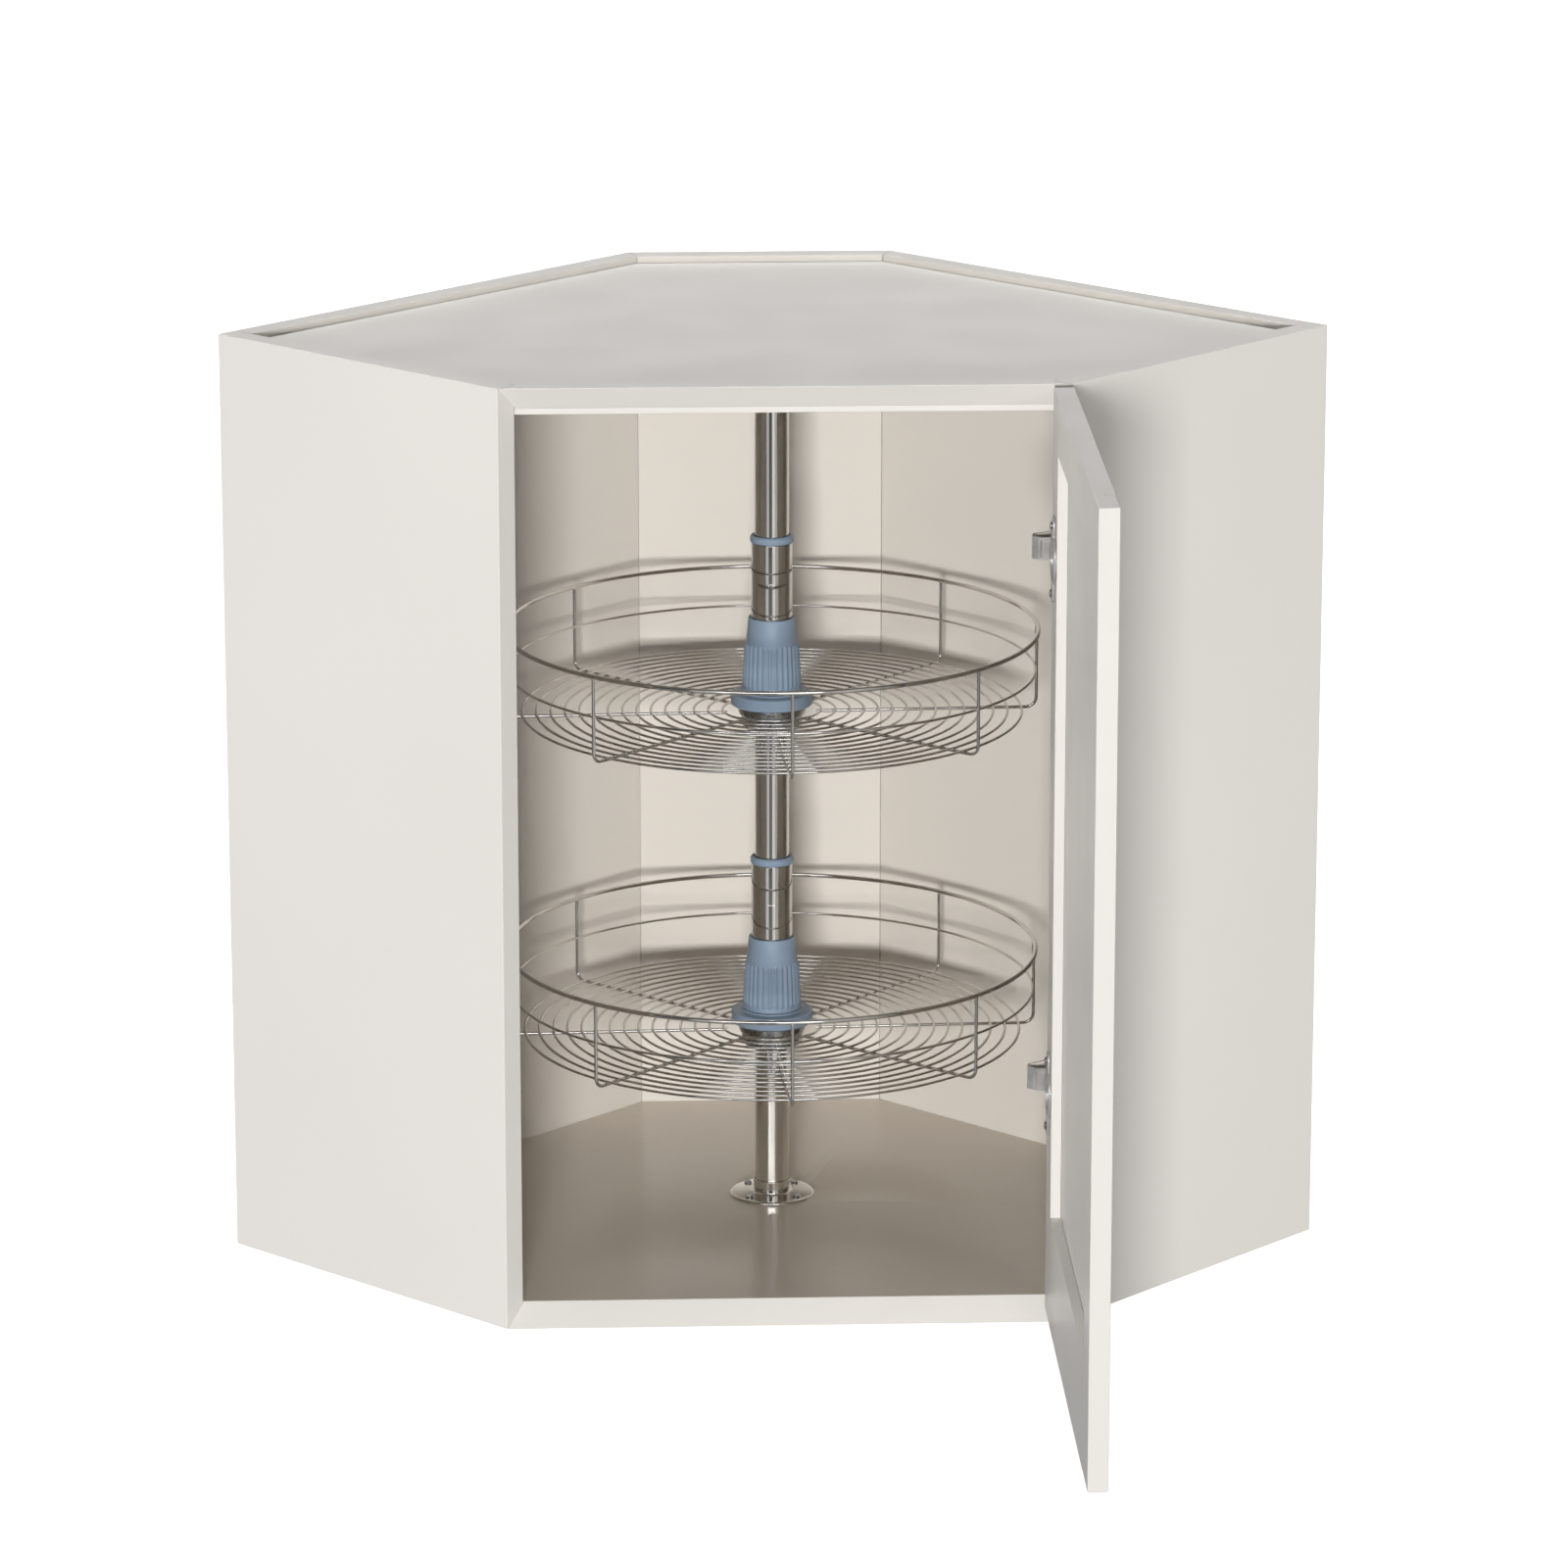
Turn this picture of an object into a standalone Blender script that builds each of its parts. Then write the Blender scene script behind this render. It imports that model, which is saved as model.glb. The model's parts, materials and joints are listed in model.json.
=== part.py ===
"""Diagonal corner pantry cabinet with a two-tray rotating carousel.

Frame: the origin lies on the carousel axis at the underside of the bottom panel.
+X points to the right of someone facing the door, +Y into the room's corner, +Z up.
The door is modelled standing open at a right angle. All lengths are in metres.
"""
import math

import bmesh
import bpy
from mathutils import Matrix, Vector

# ---------------------------------------------------------------- driving dimensions
GAP = 0.0003                # clearance between touching pieces
MERGE = 0.00001             # weld distance

# Carcass
WALL_LENGTH = 0.600         # along each wall of the room
END_DEPTH = 0.300           # depth of the square ends
CORNER_CLIP = 0.150         # cut off the back corner, along each wall
HEIGHT = 0.730
BOARD = 0.018
TOP_RECESS = 0.0055         # top panel below the upper edges of the sides
AXIS_TO_FRONT = 0.267       # carousel axis to the front plane

# Door
DOOR_LOW = 0.0165
DOOR_HIGH = 0.730           # flush with the top of the carcass
DOOR_THICK = 0.015
DOOR_CLEAR = 0.002          # closed door to the front plane
STILE_WIDTH = 0.044
TOP_RAIL = 0.042
BOTTOM_RAIL = 0.086
BACK_RECESS = 0.008         # frame proud of the panel, inside
PANEL_THICK = 0.004
GROOVE_DEPTH = 0.006
DOOR_OPEN = math.radians(90)

# Door hinges
HINGE_HEIGHTS = {"upper": 0.605, "lower": 0.193}
PIVOT_PAST_EDGE = 0.0035    # hinge axis beyond the door's edge
PIVOT_BEFORE_FRONT = 0.0081  # hinge axis in front of the front plane
CUP_RADIUS = 0.0175
CUP_DEPTH = 0.0112
CUP_WALL = 0.001
CUP_TO_EDGE = 0.020
CUP_LIP = 0.019             # radius of the lip round the cup
EAR_REACH = 0.0255          # cup centre to the centre of each rounded ear
EAR_RADIUS = 0.007
PLATE_METAL = 0.0015
ARM_METAL = 0.0022
ARM_HEIGHT = 0.017
ARM_CHANNEL = 0.050         # end of the arm's channel, back from the panel's front edge
CHANNEL_TOP = 0.011         # outside of that channel above the panel
STRAP_TO_EDGE = 0.008       # where the pivot strap leaves the cup, from the door's edge
STRAP_THICK = 0.0018
KNUCKLE_RADIUS = 0.0026
PIN_RADIUS = 0.0012
EYE_HALF_HEIGHT = 0.0027    # the door's eye between the arm's two prongs
NOTCH_RADIUS = 0.0093       # room in the arm for the door's eye to turn
ARM_START = 0.016           # mounting plate and arm, back from the panel's front edge
WALL_PLATE_THICK = 0.0018
WALL_PLATE = (0.002, 0.046, 0.009)  # near end, far end and half height of its long bar
CROSS_BAR = (0.015, 0.029, 0.023)   # the same for its upright bar
PLATE_SCREW = (0.022, 0.016)        # screws along the plate, and above and below it

# Carousel post
POST_RADIUS = 0.0135
POST_WALL = 0.0015
FLANGE_RADIUS = 0.0335
FLANGE_THICK = 0.0025
SOCKET_RADIUS = 0.0165
SOCKET_HEIGHT = 0.013
FLANGE_SCREW_CIRCLE = 0.026
FLANGE_SCREWS = 4
LOCK_SCREW_HEIGHTS = {"upper": 0.350, "lower": 0.304}
LOCK_SCREW_RADIUS = 0.0023

# Carousel trays
TRAY_FLOORS = {"upper": 0.4164, "lower": 0.1574}   # height of the floor wires
SLEEVE_RADIUS = 0.016
SLEEVE_WALL = 0.0019
SLIDING_FIT = 0.0006        # room round the post in the parts that slide on it
SLEEVE_TOP = 0.1341         # this and the heights below are above the floor wires
NUT_TOP = 0.0746
NUT_RIB_TOP = 0.0541
NUT_LOW = 0.0162
HUB_TOP = 0.0158
HUB_SHOULDER = 0.0054
HUB_SEAT = 0.0018
HUB_FOOT = -0.0052
COLLAR_LOW = -0.0144
RIM_HEIGHT = 0.0656
MID_HEIGHT = 0.0336
RING_BUSH = 0.006           # height of the bush on top of the sleeve
RIM_RADIUS = 0.208
RIM_WIRE = 0.002
MID_WIRE = 0.0015
FLOOR_WIRE = 0.003          # width and thickness of the floor's wires
FLOOR_RING_MAX = 0.1955
FLOOR_RING_PITCH = 0.0224   # every second wire of the real floor
FLOOR_RINGS = 7
FLOOR_PLATE = (0.0265, 0.0385)  # ring that carries the hub
SPOKES = 8
SPOKE_TURN = math.radians(2.1)  # front spoke off the centre line
RING_SIDES_PER_SPOKE = 4
RIM_SIDES = 32

# Wood screws
SCREW_SHANK = 0.0015
SCREW_HOLE = 0.0018
SCREW_HEAD = 0.0032
SCREW_HEAD_HEIGHT = 0.0014
SCREW_LENGTH = 0.012
CUP_SCREW_SHARE = 0.75      # the screws of the cup are this much shorter
HOLE_SPARE = 0.002          # screw hole beyond the screw's point

# ---------------------------------------------------------------- derived places
DIAGONAL = math.sqrt(0.5)
FRONT_Y = -AXIS_TO_FRONT
END_Y = FRONT_Y + END_DEPTH * DIAGONAL
REAR_Y = END_Y + (WALL_LENGTH - CORNER_CLIP) * DIAGONAL
HALF_FRONT = (WALL_LENGTH - END_DEPTH) * DIAGONAL
HALF_WIDTH = WALL_LENGTH * DIAGONAL
HALF_REAR = CORNER_CLIP * DIAGONAL
EDGE_SETBACK = BOARD * DIAGONAL         # a square-cut board edge seen at 45 degrees
FLOOR_Z = BOARD
CEILING_Z = HEIGHT - TOP_RECESS - BOARD
DOOR_HALF = HALF_FRONT - EDGE_SETBACK
DOOR_BACK_Y = FRONT_Y - DOOR_CLEAR
PIVOT = Vector((DOOR_HALF + PIVOT_PAST_EDGE, FRONT_Y - PIVOT_BEFORE_FRONT, 0))

# Colour, roughness, metallic
LACQUER = ((0.79, 0.76, 0.71), 0.38, 0.0)
CHROME = ((0.72, 0.70, 0.67), 0.12, 1.0)
STEEL = ((0.60, 0.60, 0.60), 0.30, 1.0)
BLUE_PLASTIC = ((0.16, 0.25, 0.38), 0.42, 0.0)


# ---------------------------------------------------------------- helpers
def clear_scene():
    for obj in list(bpy.data.objects):
        bpy.data.objects.remove(obj, do_unlink=True)


def new_collection(name):
    group = bpy.data.collections.new(name)
    bpy.context.scene.collection.children.link(group)
    return group


def link(obj, home, parent=None):
    home.objects.link(obj)
    obj.parent = parent
    return obj


def new_empty(name, location, turn=0.0):
    obj = bpy.data.objects.new(name, None)
    obj.location = location
    obj.rotation_euler = (0, 0, turn)
    return link(obj, PARTS)


def finish(obj, look):
    """Give a part its own plain surface."""
    colour, roughness, metallic = look
    material = bpy.data.materials.new(obj.name + "_finish")
    material.use_nodes = True
    shader = material.node_tree.nodes["Principled BSDF"]
    shader.inputs["Base Color"].default_value = (*colour, 1)
    shader.inputs["Roughness"].default_value = roughness
    shader.inputs["Metallic"].default_value = metallic
    obj.data.materials.clear()
    obj.data.materials.append(material)
    return obj


def as_cutter(obj):
    obj.hide_render = True
    obj.display_type = "WIRE"
    return obj


def mesh_object(name, build, home, parent=None):
    """Make an object from a function that fills a bmesh."""
    mesh = bpy.data.meshes.new(name)
    shape = bmesh.new()
    build(shape)
    shape.to_mesh(mesh)
    shape.free()
    return link(bpy.data.objects.new(name, mesh), home, parent)


def curve_to_mesh(obj, home, parent=None):
    """Replace a curve object by its welded mesh."""
    name = obj.name
    bpy.context.view_layer.update()
    evaluated = obj.evaluated_get(bpy.context.evaluated_depsgraph_get())
    mesh = bpy.data.meshes.new_from_object(evaluated)
    shape = bmesh.new()
    shape.from_mesh(mesh)
    bmesh.ops.remove_doubles(shape, verts=shape.verts, dist=MERGE)
    bmesh.ops.recalc_face_normals(shape, faces=shape.faces)
    shape.to_mesh(mesh)
    shape.free()
    place = obj.matrix_world.copy()
    bpy.data.objects.remove(obj, do_unlink=True)
    solid = link(bpy.data.objects.new(name, mesh), home, parent)
    solid.matrix_basis = place
    return solid


def prism(name, outline, low, high, home, parent=None, place=None):
    """Extrude a flat outline from low to high along its local Z."""
    curve = bpy.data.curves.new(name, "CURVE")
    curve.dimensions = "2D"
    curve.fill_mode = "BOTH"
    curve.extrude = (high - low) / 2
    spline = curve.splines.new("POLY")
    spline.points.add(len(outline) - 1)
    for point, (x, y) in zip(spline.points, outline):
        point.co = (x, y, 0, 1)
    spline.use_cyclic_u = True
    obj = link(bpy.data.objects.new(name, curve), home)
    obj.matrix_world = (place or Matrix()) @ Matrix.Translation((0, 0, (low + high) / 2))
    return curve_to_mesh(obj, home, parent)


def ribbon(name, path, low, high, thickness, home):
    """Bend a strip of sheet metal of a given height along a path seen from above."""
    curve = bpy.data.curves.new(name, "CURVE")
    curve.dimensions = "3D"
    curve.extrude = (high - low) / 2
    spline = curve.splines.new("POLY")
    spline.points.add(len(path) - 1)
    for point, (x, y) in zip(spline.points, path):
        point.co = (x, y, (low + high) / 2, 1)
    obj = link(bpy.data.objects.new(name, curve), home)
    strip = curve_to_mesh(obj, home)
    solid = strip.modifiers.new("Sheet", "SOLIDIFY")
    solid.thickness = thickness
    solid.offset = 0
    solid.use_even_offset = True
    return strip


def turned(name, profile, home, sides=24, parent=None):
    """Turn a closed profile round Z. It runs down its outer side and up its inner side."""
    mesh = bpy.data.meshes.new(name)
    edges = [(i, (i + 1) % len(profile)) for i in range(len(profile))]
    if profile[0][0] == 0 and profile[-1][0] == 0:
        edges.pop()
    mesh.from_pydata([(radius, 0, z) for radius, z in profile], edges, [])
    obj = link(bpy.data.objects.new(name, mesh), home, parent)
    screw = obj.modifiers.new("Turn", "SCREW")
    screw.steps = sides
    screw.render_steps = sides
    screw.use_merge_vertices = True
    screw.merge_threshold = MERGE
    return obj


def tube_profile(outer, inner, low, high):
    return [(inner, high), (outer, high), (outer, low), (inner, low)]


def along(start, end):
    """Matrix that puts local Z along start to end, centred between them."""
    start, end = Vector(start), Vector(end)
    turn = (end - start).to_track_quat("Z", "Y").to_matrix().to_4x4()
    return Matrix.Translation((start + end) / 2) @ turn


def add_rod(shape, radius, start, end, sides):
    length = (Vector(end) - Vector(start)).length
    bmesh.ops.create_cone(shape, cap_ends=True, segments=sides, radius1=radius,
                          radius2=radius, depth=length, matrix=along(start, end))


def rods(name, radius, spans, home, parent=None, sides=12):
    """Round bars between pairs of points, in one object."""
    def build(shape):
        for start, end in spans:
            add_rod(shape, radius, start, end, sides)
    return mesh_object(name, build, home, parent)


def box(name, low, high, home, parent=None, place=None):
    low, high = Vector(low), Vector(high)
    size = Matrix.Diagonal((*(high - low), 1))
    matrix = (place or Matrix()) @ Matrix.Translation((low + high) / 2) @ size

    def build(shape):
        bmesh.ops.create_cube(shape, size=1, matrix=matrix)
    return mesh_object(name, build, home, parent)


def join_to(obj, other, operation, overlaps_itself=False):
    tool = obj.modifiers.new(operation.title(), "BOOLEAN")
    tool.operation = operation
    tool.object = as_cutter(other)
    tool.solver = "EXACT"
    tool.use_self = overlaps_itself


def plane_cut(obj, point, normal):
    """Remove what lies on the side that the normal points to, and close the cut."""
    shape = bmesh.new()
    shape.from_mesh(obj.data)
    everything = shape.verts[:] + shape.edges[:] + shape.faces[:]
    local_point = obj.matrix_basis.inverted() @ Vector(point)
    cut = bmesh.ops.bisect_plane(shape, geom=everything, dist=MERGE, plane_co=local_point,
                                 plane_no=normal, clear_outer=True)
    rim = [item for item in cut["geom_cut"] if isinstance(item, bmesh.types.BMEdge)]
    bmesh.ops.edgeloop_fill(shape, edges=rim)
    bmesh.ops.recalc_face_normals(shape, faces=shape.faces)
    shape.to_mesh(obj.data)
    shape.free()


def inset(outline, amounts):
    """Move each edge of a counter-clockwise outline inwards by its own amount."""
    count = len(outline)
    lines = []
    for i, amount in enumerate(amounts):
        start = Vector(outline[i])
        along_edge = (Vector(outline[(i + 1) % count]) - start).normalized()
        inward = Vector((-along_edge.y, along_edge.x))
        lines.append((start + inward * amount, along_edge))
    corners = []
    for i in range(count):
        (p, d), (q, e) = lines[i - 1], lines[i]
        reach = (q - p).cross(e) / d.cross(e)
        corners.append(tuple(p + d * reach))
    return corners


def mirrored(outline):
    """Mirror a counter-clockwise outline across X, keeping it counter-clockwise."""
    return [(-x, y) for x, y in reversed(outline)]


# ---------------------------------------------------------------- carcass
FRONT_CORNER = Vector((HALF_FRONT, FRONT_Y))
END_CORNER = Vector((HALF_WIDTH, END_Y))
REAR_CORNER = Vector((HALF_REAR, REAR_Y))
END_INWARD = Vector((-DIAGONAL, DIAGONAL))     # also the direction along the right back wall
WALL_INWARD = Vector((-DIAGONAL, -DIAGONAL))
FRONT_INNER = FRONT_CORNER + BOARD * END_INWARD
END_INNER = END_CORNER + BOARD * (END_INWARD + WALL_INWARD)
REAR_INNER = Vector((HALF_REAR - BOARD * math.tan(math.pi / 8), REAR_Y - BOARD))


def interior_half():
    """Right half of the room between the boards, from the end panel to the rear panel."""
    return [tuple(END_INNER), tuple(REAR_INNER)]


def whole(half):
    """Close a right half outline, listed front to back, with its mirror image."""
    return half + mirrored(half)


def back_wall_outline():
    start = END_CORNER + (BOARD + GAP) * END_INWARD
    outline = [tuple(start), tuple(REAR_CORNER), tuple(REAR_INNER),
               tuple(start + BOARD * WALL_INWARD)]
    return inset(outline, [0, GAP / 2, 0, 0])


def make_side_boards():
    end = [tuple(FRONT_CORNER), tuple(END_CORNER),
           tuple(END_CORNER + BOARD * END_INWARD), tuple(FRONT_INNER)]
    wall = back_wall_outline()
    rear = [tuple(REAR_CORNER), (-HALF_REAR, REAR_Y), (-REAR_INNER.x, REAR_INNER.y),
            tuple(REAR_INNER)]
    outlines = {
        "right_end_panel": end,
        "left_end_panel": mirrored(end),
        "right_back_panel": wall,
        "left_back_panel": mirrored(wall),
        "rear_panel": inset(rear, [0, GAP / 2, 0, GAP / 2]),
    }
    for name, outline in outlines.items():
        finish(prism(name, outline, 0, HEIGHT, PARTS), LACQUER)


def make_level_boards():
    step = BOARD - EDGE_SETBACK
    rail_corner = (FRONT_INNER.x + step, FRONT_Y + BOARD)

    floor = whole([tuple(FRONT_CORNER), tuple(FRONT_INNER)] + interior_half())
    floor = inset(floor, [GAP] * (len(floor) - 1) + [0])
    bottom = finish(prism("bottom_panel", floor, 0, FLOOR_Z, PARTS), LACQUER)
    plane_cut(bottom, (0, FRONT_Y, 0), (0, -BOARD, EDGE_SETBACK))

    lid = whole([rail_corner] + interior_half())
    lid = inset(lid, [GAP] * len(lid))
    finish(prism("top_panel", lid, CEILING_Z, CEILING_Z + BOARD, PARTS), LACQUER)

    rail = whole([tuple(FRONT_CORNER), tuple(FRONT_INNER), rail_corner])
    rail = inset(rail, [GAP, GAP, 0, GAP, GAP, 0])
    top_rail = finish(prism("top_front_rail", rail, HEIGHT - BOARD, HEIGHT, PARTS), LACQUER)
    plane_cut(top_rail, (0, FRONT_Y, HEIGHT), (0, -BOARD, -EDGE_SETBACK))


# ---------------------------------------------------------------- door
def door_face(depth):
    """Y of a plane at some depth below the closed door's inner face."""
    return DOOR_BACK_Y - depth


def make_door(axis):
    panel_back = door_face(BACK_RECESS)
    panel_front = door_face(BACK_RECESS + PANEL_THICK)
    inner_x = DOOR_HALF - STILE_WIDTH
    back, front = DOOR_BACK_Y, door_face(DOOR_THICK)

    def grooved(edge, outer):
        """Section of a frame member, its groove cut into the side at edge."""
        floor = edge + math.copysign(GROOVE_DEPTH, outer - edge)
        return [(edge, back), (edge, panel_back + GAP), (floor, panel_back + GAP),
                (floor, panel_front - GAP), (edge, panel_front - GAP), (edge, front),
                (outer, front), (outer, back)]

    def member(name, obj):
        obj.location -= PIVOT
        return finish(obj, LACQUER)

    hinge_stile = member("door_hinge_stile", prism(
        "door_hinge_stile", grooved(inner_x, DOOR_HALF), DOOR_LOW, DOOR_HIGH, PARTS, axis))
    member("door_free_stile", prism(
        "door_free_stile", grooved(-inner_x, -DOOR_HALF), DOOR_LOW, DOOR_HIGH, PARTS, axis))

    # A rail's section is drawn with its height along X, then turned to lie along the door.
    lie_down = Matrix(((0, 0, 1, 0), (0, 1, 0, 0), (1, 0, 0, 0), (0, 0, 0, 1)))
    reach = inner_x - GAP
    panel_low, panel_high = DOOR_LOW + BOTTOM_RAIL, DOOR_HIGH - TOP_RAIL
    for name, edge, outer in (("door_bottom_rail", panel_low, DOOR_LOW),
                              ("door_top_rail", panel_high, DOOR_HIGH)):
        member(name, prism(name, grooved(edge, outer), -reach, reach, PARTS, axis, lie_down))

    tongue = GROOVE_DEPTH - GAP
    member("door_panel", box(
        "door_panel", (-inner_x - tongue, panel_front, panel_low - tongue),
        (inner_x + tongue, panel_back, panel_high + tongue), PARTS, axis))
    return hinge_stile


# ---------------------------------------------------------------- door hinges
def arm_point(s, d):
    """Plan point s along the right end panel's inner face and d in from it."""
    return FRONT_INNER - s * WALL_INWARD + d * END_INWARD


def panel_frame(s, z):
    """Frame on the end panel's inner face: X along it, Y up, Z out of it."""
    point = arm_point(s, 0)
    place = Matrix(((DIAGONAL, 0, -DIAGONAL, point.x), (DIAGONAL, 0, DIAGONAL, point.y),
                    (0, 1, 0, z), (0, 0, 0, 1)))
    return place


def make_screw(name, place, parent=None):
    """Round-headed wood screw, its seat at the place's origin and its head along +Z."""
    profile = [(0, SCREW_HEAD_HEIGHT), (SCREW_HEAD * 0.6, SCREW_HEAD_HEIGHT),
               (SCREW_HEAD, SCREW_HEAD_HEIGHT * 0.4), (SCREW_HEAD, 0), (SCREW_SHANK, 0),
               (SCREW_SHANK, -SCREW_LENGTH), (0, -SCREW_LENGTH - SCREW_SHANK)]
    obj = turned(name, profile, PARTS, 8, parent)
    obj.matrix_basis = place
    return finish(obj, STEEL)


def make_hinge(side, axis, end_panel, hinge_stile):
    z = HINGE_HEIGHTS[side]
    make_cup(side, z, axis, hinge_stile)
    make_arm(side, z)
    make_wall_plate(side, z, end_panel)
    half = ARM_HEIGHT / 2
    pin = rods(side + "_hinge_pin", PIN_RADIUS,
               [((PIVOT.x, PIVOT.y, z - half), (PIVOT.x, PIVOT.y, z + half))], PARTS)
    finish(pin, STEEL)


def make_cup(side, z, axis, hinge_stile):
    """Cup, lip, ears and pivot eye, in the closed door's place under the hinge axis."""
    centre_x = DOOR_HALF - CUP_TO_EDGE
    seat_y = DOOR_BACK_Y + GAP
    outer_y = seat_y + PLATE_METAL
    shift = Matrix.Translation(-PIVOT)
    upright = Matrix(((1, 0, 0, centre_x), (0, 0, 1, seat_y), (0, -1, 0, z), (0, 0, 0, 1)))

    profile = [(CUP_RADIUS - CUP_WALL, PLATE_METAL), (CUP_LIP, PLATE_METAL), (CUP_LIP, 0),
               (CUP_RADIUS, 0), (CUP_RADIUS, -CUP_DEPTH), (0, -CUP_DEPTH),
               (0, CUP_WALL - CUP_DEPTH), (CUP_RADIUS - CUP_WALL, CUP_WALL - CUP_DEPTH)]
    cup = turned(side + "_hinge_cup", profile, PARTS, 16, axis)
    cup.matrix_basis = shift @ upright

    ear_inner = CUP_RADIUS + 0.0003
    for sign in (1, -1):
        ear_z = z + sign * EAR_REACH
        low, high = sorted((z + sign * ear_inner, ear_z))
        ear = box(f"{side}_cup_ear_{sign}", (centre_x - EAR_RADIUS, seat_y, low),
                  (centre_x + EAR_RADIUS, outer_y, high), CUTTERS, axis)
        end = rods(f"{side}_cup_ear_end_{sign}", EAR_RADIUS,
                   [((centre_x, seat_y, ear_z), (centre_x, outer_y, ear_z))],
                   CUTTERS, axis, 16)
        for piece in (ear, end):
            piece.location = -PIVOT
            join_to(cup, piece, "UNION")

    reach_x = PIVOT.x + KNUCKLE_RADIUS
    leg_x = reach_x - STRAP_THICK
    root_x = DOOR_HALF - STRAP_TO_EDGE
    strap = [(root_x, seat_y), (leg_x, seat_y), (leg_x, PIVOT.y),
             (reach_x, PIVOT.y), (reach_x, outer_y), (root_x, outer_y)]
    eye_low, eye_high = z - EYE_HALF_HEIGHT, z + EYE_HALF_HEIGHT
    strap = prism(side + "_cup_strap", strap, eye_low, eye_high, CUTTERS, axis)
    eye = rods(side + "_cup_eye", KNUCKLE_RADIUS,
               [((PIVOT.x, PIVOT.y, eye_low), (PIVOT.x, PIVOT.y, eye_high))],
               CUTTERS, axis, 16)
    bore = rods(side + "_cup_bore", PIN_RADIUS + GAP,
                [((PIVOT.x, PIVOT.y, eye_low - 0.001), (PIVOT.x, PIVOT.y, eye_high + 0.001))],
                CUTTERS, axis, 16)
    for piece, operation in ((strap, "UNION"), (eye, "UNION"), (bore, "DIFFERENCE")):
        piece.location -= PIVOT
        join_to(cup, piece, operation)

    pocket = rods(side + "_cup_pocket", CUP_RADIUS + GAP,
                  [((centre_x, DOOR_BACK_Y + 0.001, z),
                    (centre_x, door_face(CUP_DEPTH), z))], CUTTERS, axis, 24)
    pocket.location = -PIVOT
    join_to(hinge_stile, pocket, "DIFFERENCE")

    spans = []
    for sign, word in ((1, "top"), (-1, "bottom")):
        ear_z = z + sign * EAR_REACH
        spans.append(((centre_x, outer_y + 0.001, ear_z),
                      (centre_x, door_face(SCREW_LENGTH * CUP_SCREW_SHARE + HOLE_SPARE), ear_z)))
        place = shift @ Matrix(((1, 0, 0, centre_x), (0, 0, 1, outer_y + GAP),
                                (0, -1, 0, ear_z), (0, 0, 0, 1)))
        screw = make_screw(f"{side}_cup_screw_{word}", place, axis)
        screw.matrix_basis = place @ Matrix.Diagonal((1, 1, CUP_SCREW_SHARE, 1))
    holes = rods(side + "_cup_screw_holes", SCREW_HOLE, spans, CUTTERS, axis, 10)
    holes.location = -PIVOT
    join_to(cup, holes, "DIFFERENCE")
    join_to(hinge_stile, holes, "DIFFERENCE")


def make_arm(side, z):
    """Cranked arm from the wall plate round the panel's edge to the hinge pin."""
    low, high = z - ARM_HEIGHT / 2, z + ARM_HEIGHT / 2
    elbow_y = FRONT_Y + 0.0035
    path = [(PIVOT.x, PIVOT.y), (PIVOT.x, elbow_y), (PIVOT.x - 0.012, elbow_y),
            (PIVOT.x - 0.0185, elbow_y + 0.005), (PIVOT.x - 0.0175, elbow_y + 0.013),
            tuple(arm_point(0.014, 0.0075)), tuple(arm_point(0.022, 0.0075))]
    arm = ribbon(side + "_hinge_arm", path, low, high, ARM_METAL, PARTS)
    channel = box(side + "_arm_channel", (0, -ARM_HEIGHT / 2, PLATE_METAL + 2 * GAP + 0.001),
                  (ARM_CHANNEL, ARM_HEIGHT / 2, CHANNEL_TOP), CUTTERS, None,
                  panel_frame(ARM_START, z))
    knuckle = rods(side + "_arm_knuckle", KNUCKLE_RADIUS,
                   [((PIVOT.x, PIVOT.y, low), (PIVOT.x, PIVOT.y, high))], CUTTERS, None, 16)
    bore = rods(side + "_arm_bore", PIN_RADIUS + GAP,
                [((PIVOT.x, PIVOT.y, low - 0.001), (PIVOT.x, PIVOT.y, high + 0.001))],
                CUTTERS, None, 16)
    notch_half = EYE_HALF_HEIGHT + GAP
    notch = rods(side + "_arm_notch", NOTCH_RADIUS,
                 [((PIVOT.x, PIVOT.y, z - notch_half), (PIVOT.x, PIVOT.y, z + notch_half))],
                 CUTTERS, None, 24)
    join_to(arm, channel, "UNION")
    join_to(arm, knuckle, "UNION")
    join_to(arm, bore, "DIFFERENCE")
    join_to(arm, notch, "DIFFERENCE")
    finish(arm, STEEL)


def make_wall_plate(side, z, end_panel):
    """Cross-shaped mounting plate on the end panel, with its two screws."""
    place = panel_frame(ARM_START, z)
    top = GAP + WALL_PLATE_THICK
    plate, bar = (
        box(side + word, (near, -half, GAP), (far, half, top), home, None, place)
        for word, (near, far, half), home in (("_hinge_plate", WALL_PLATE, PARTS),
                                              ("_plate_bar", CROSS_BAR, CUTTERS)))
    join_to(plate, bar, "UNION")
    spans = []
    for sign, word in ((1, "top"), (-1, "bottom")):
        seat = place @ Vector((PLATE_SCREW[0], sign * PLATE_SCREW[1], top + GAP))
        inward = (place.to_3x3() @ Vector((0, 0, 1))).normalized()
        spans.append((seat + inward * 0.001, seat - inward * (SCREW_LENGTH + HOLE_SPARE + GAP)))
        turn = place.copy()
        turn.translation = seat
        make_screw(f"{side}_plate_screw_{word}", turn)
    holes = rods(side + "_plate_screw_holes", SCREW_HOLE, spans, CUTTERS, None, 10)
    join_to(plate, holes, "DIFFERENCE")
    join_to(end_panel, holes, "DIFFERENCE")
    finish(plate, STEEL)


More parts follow.
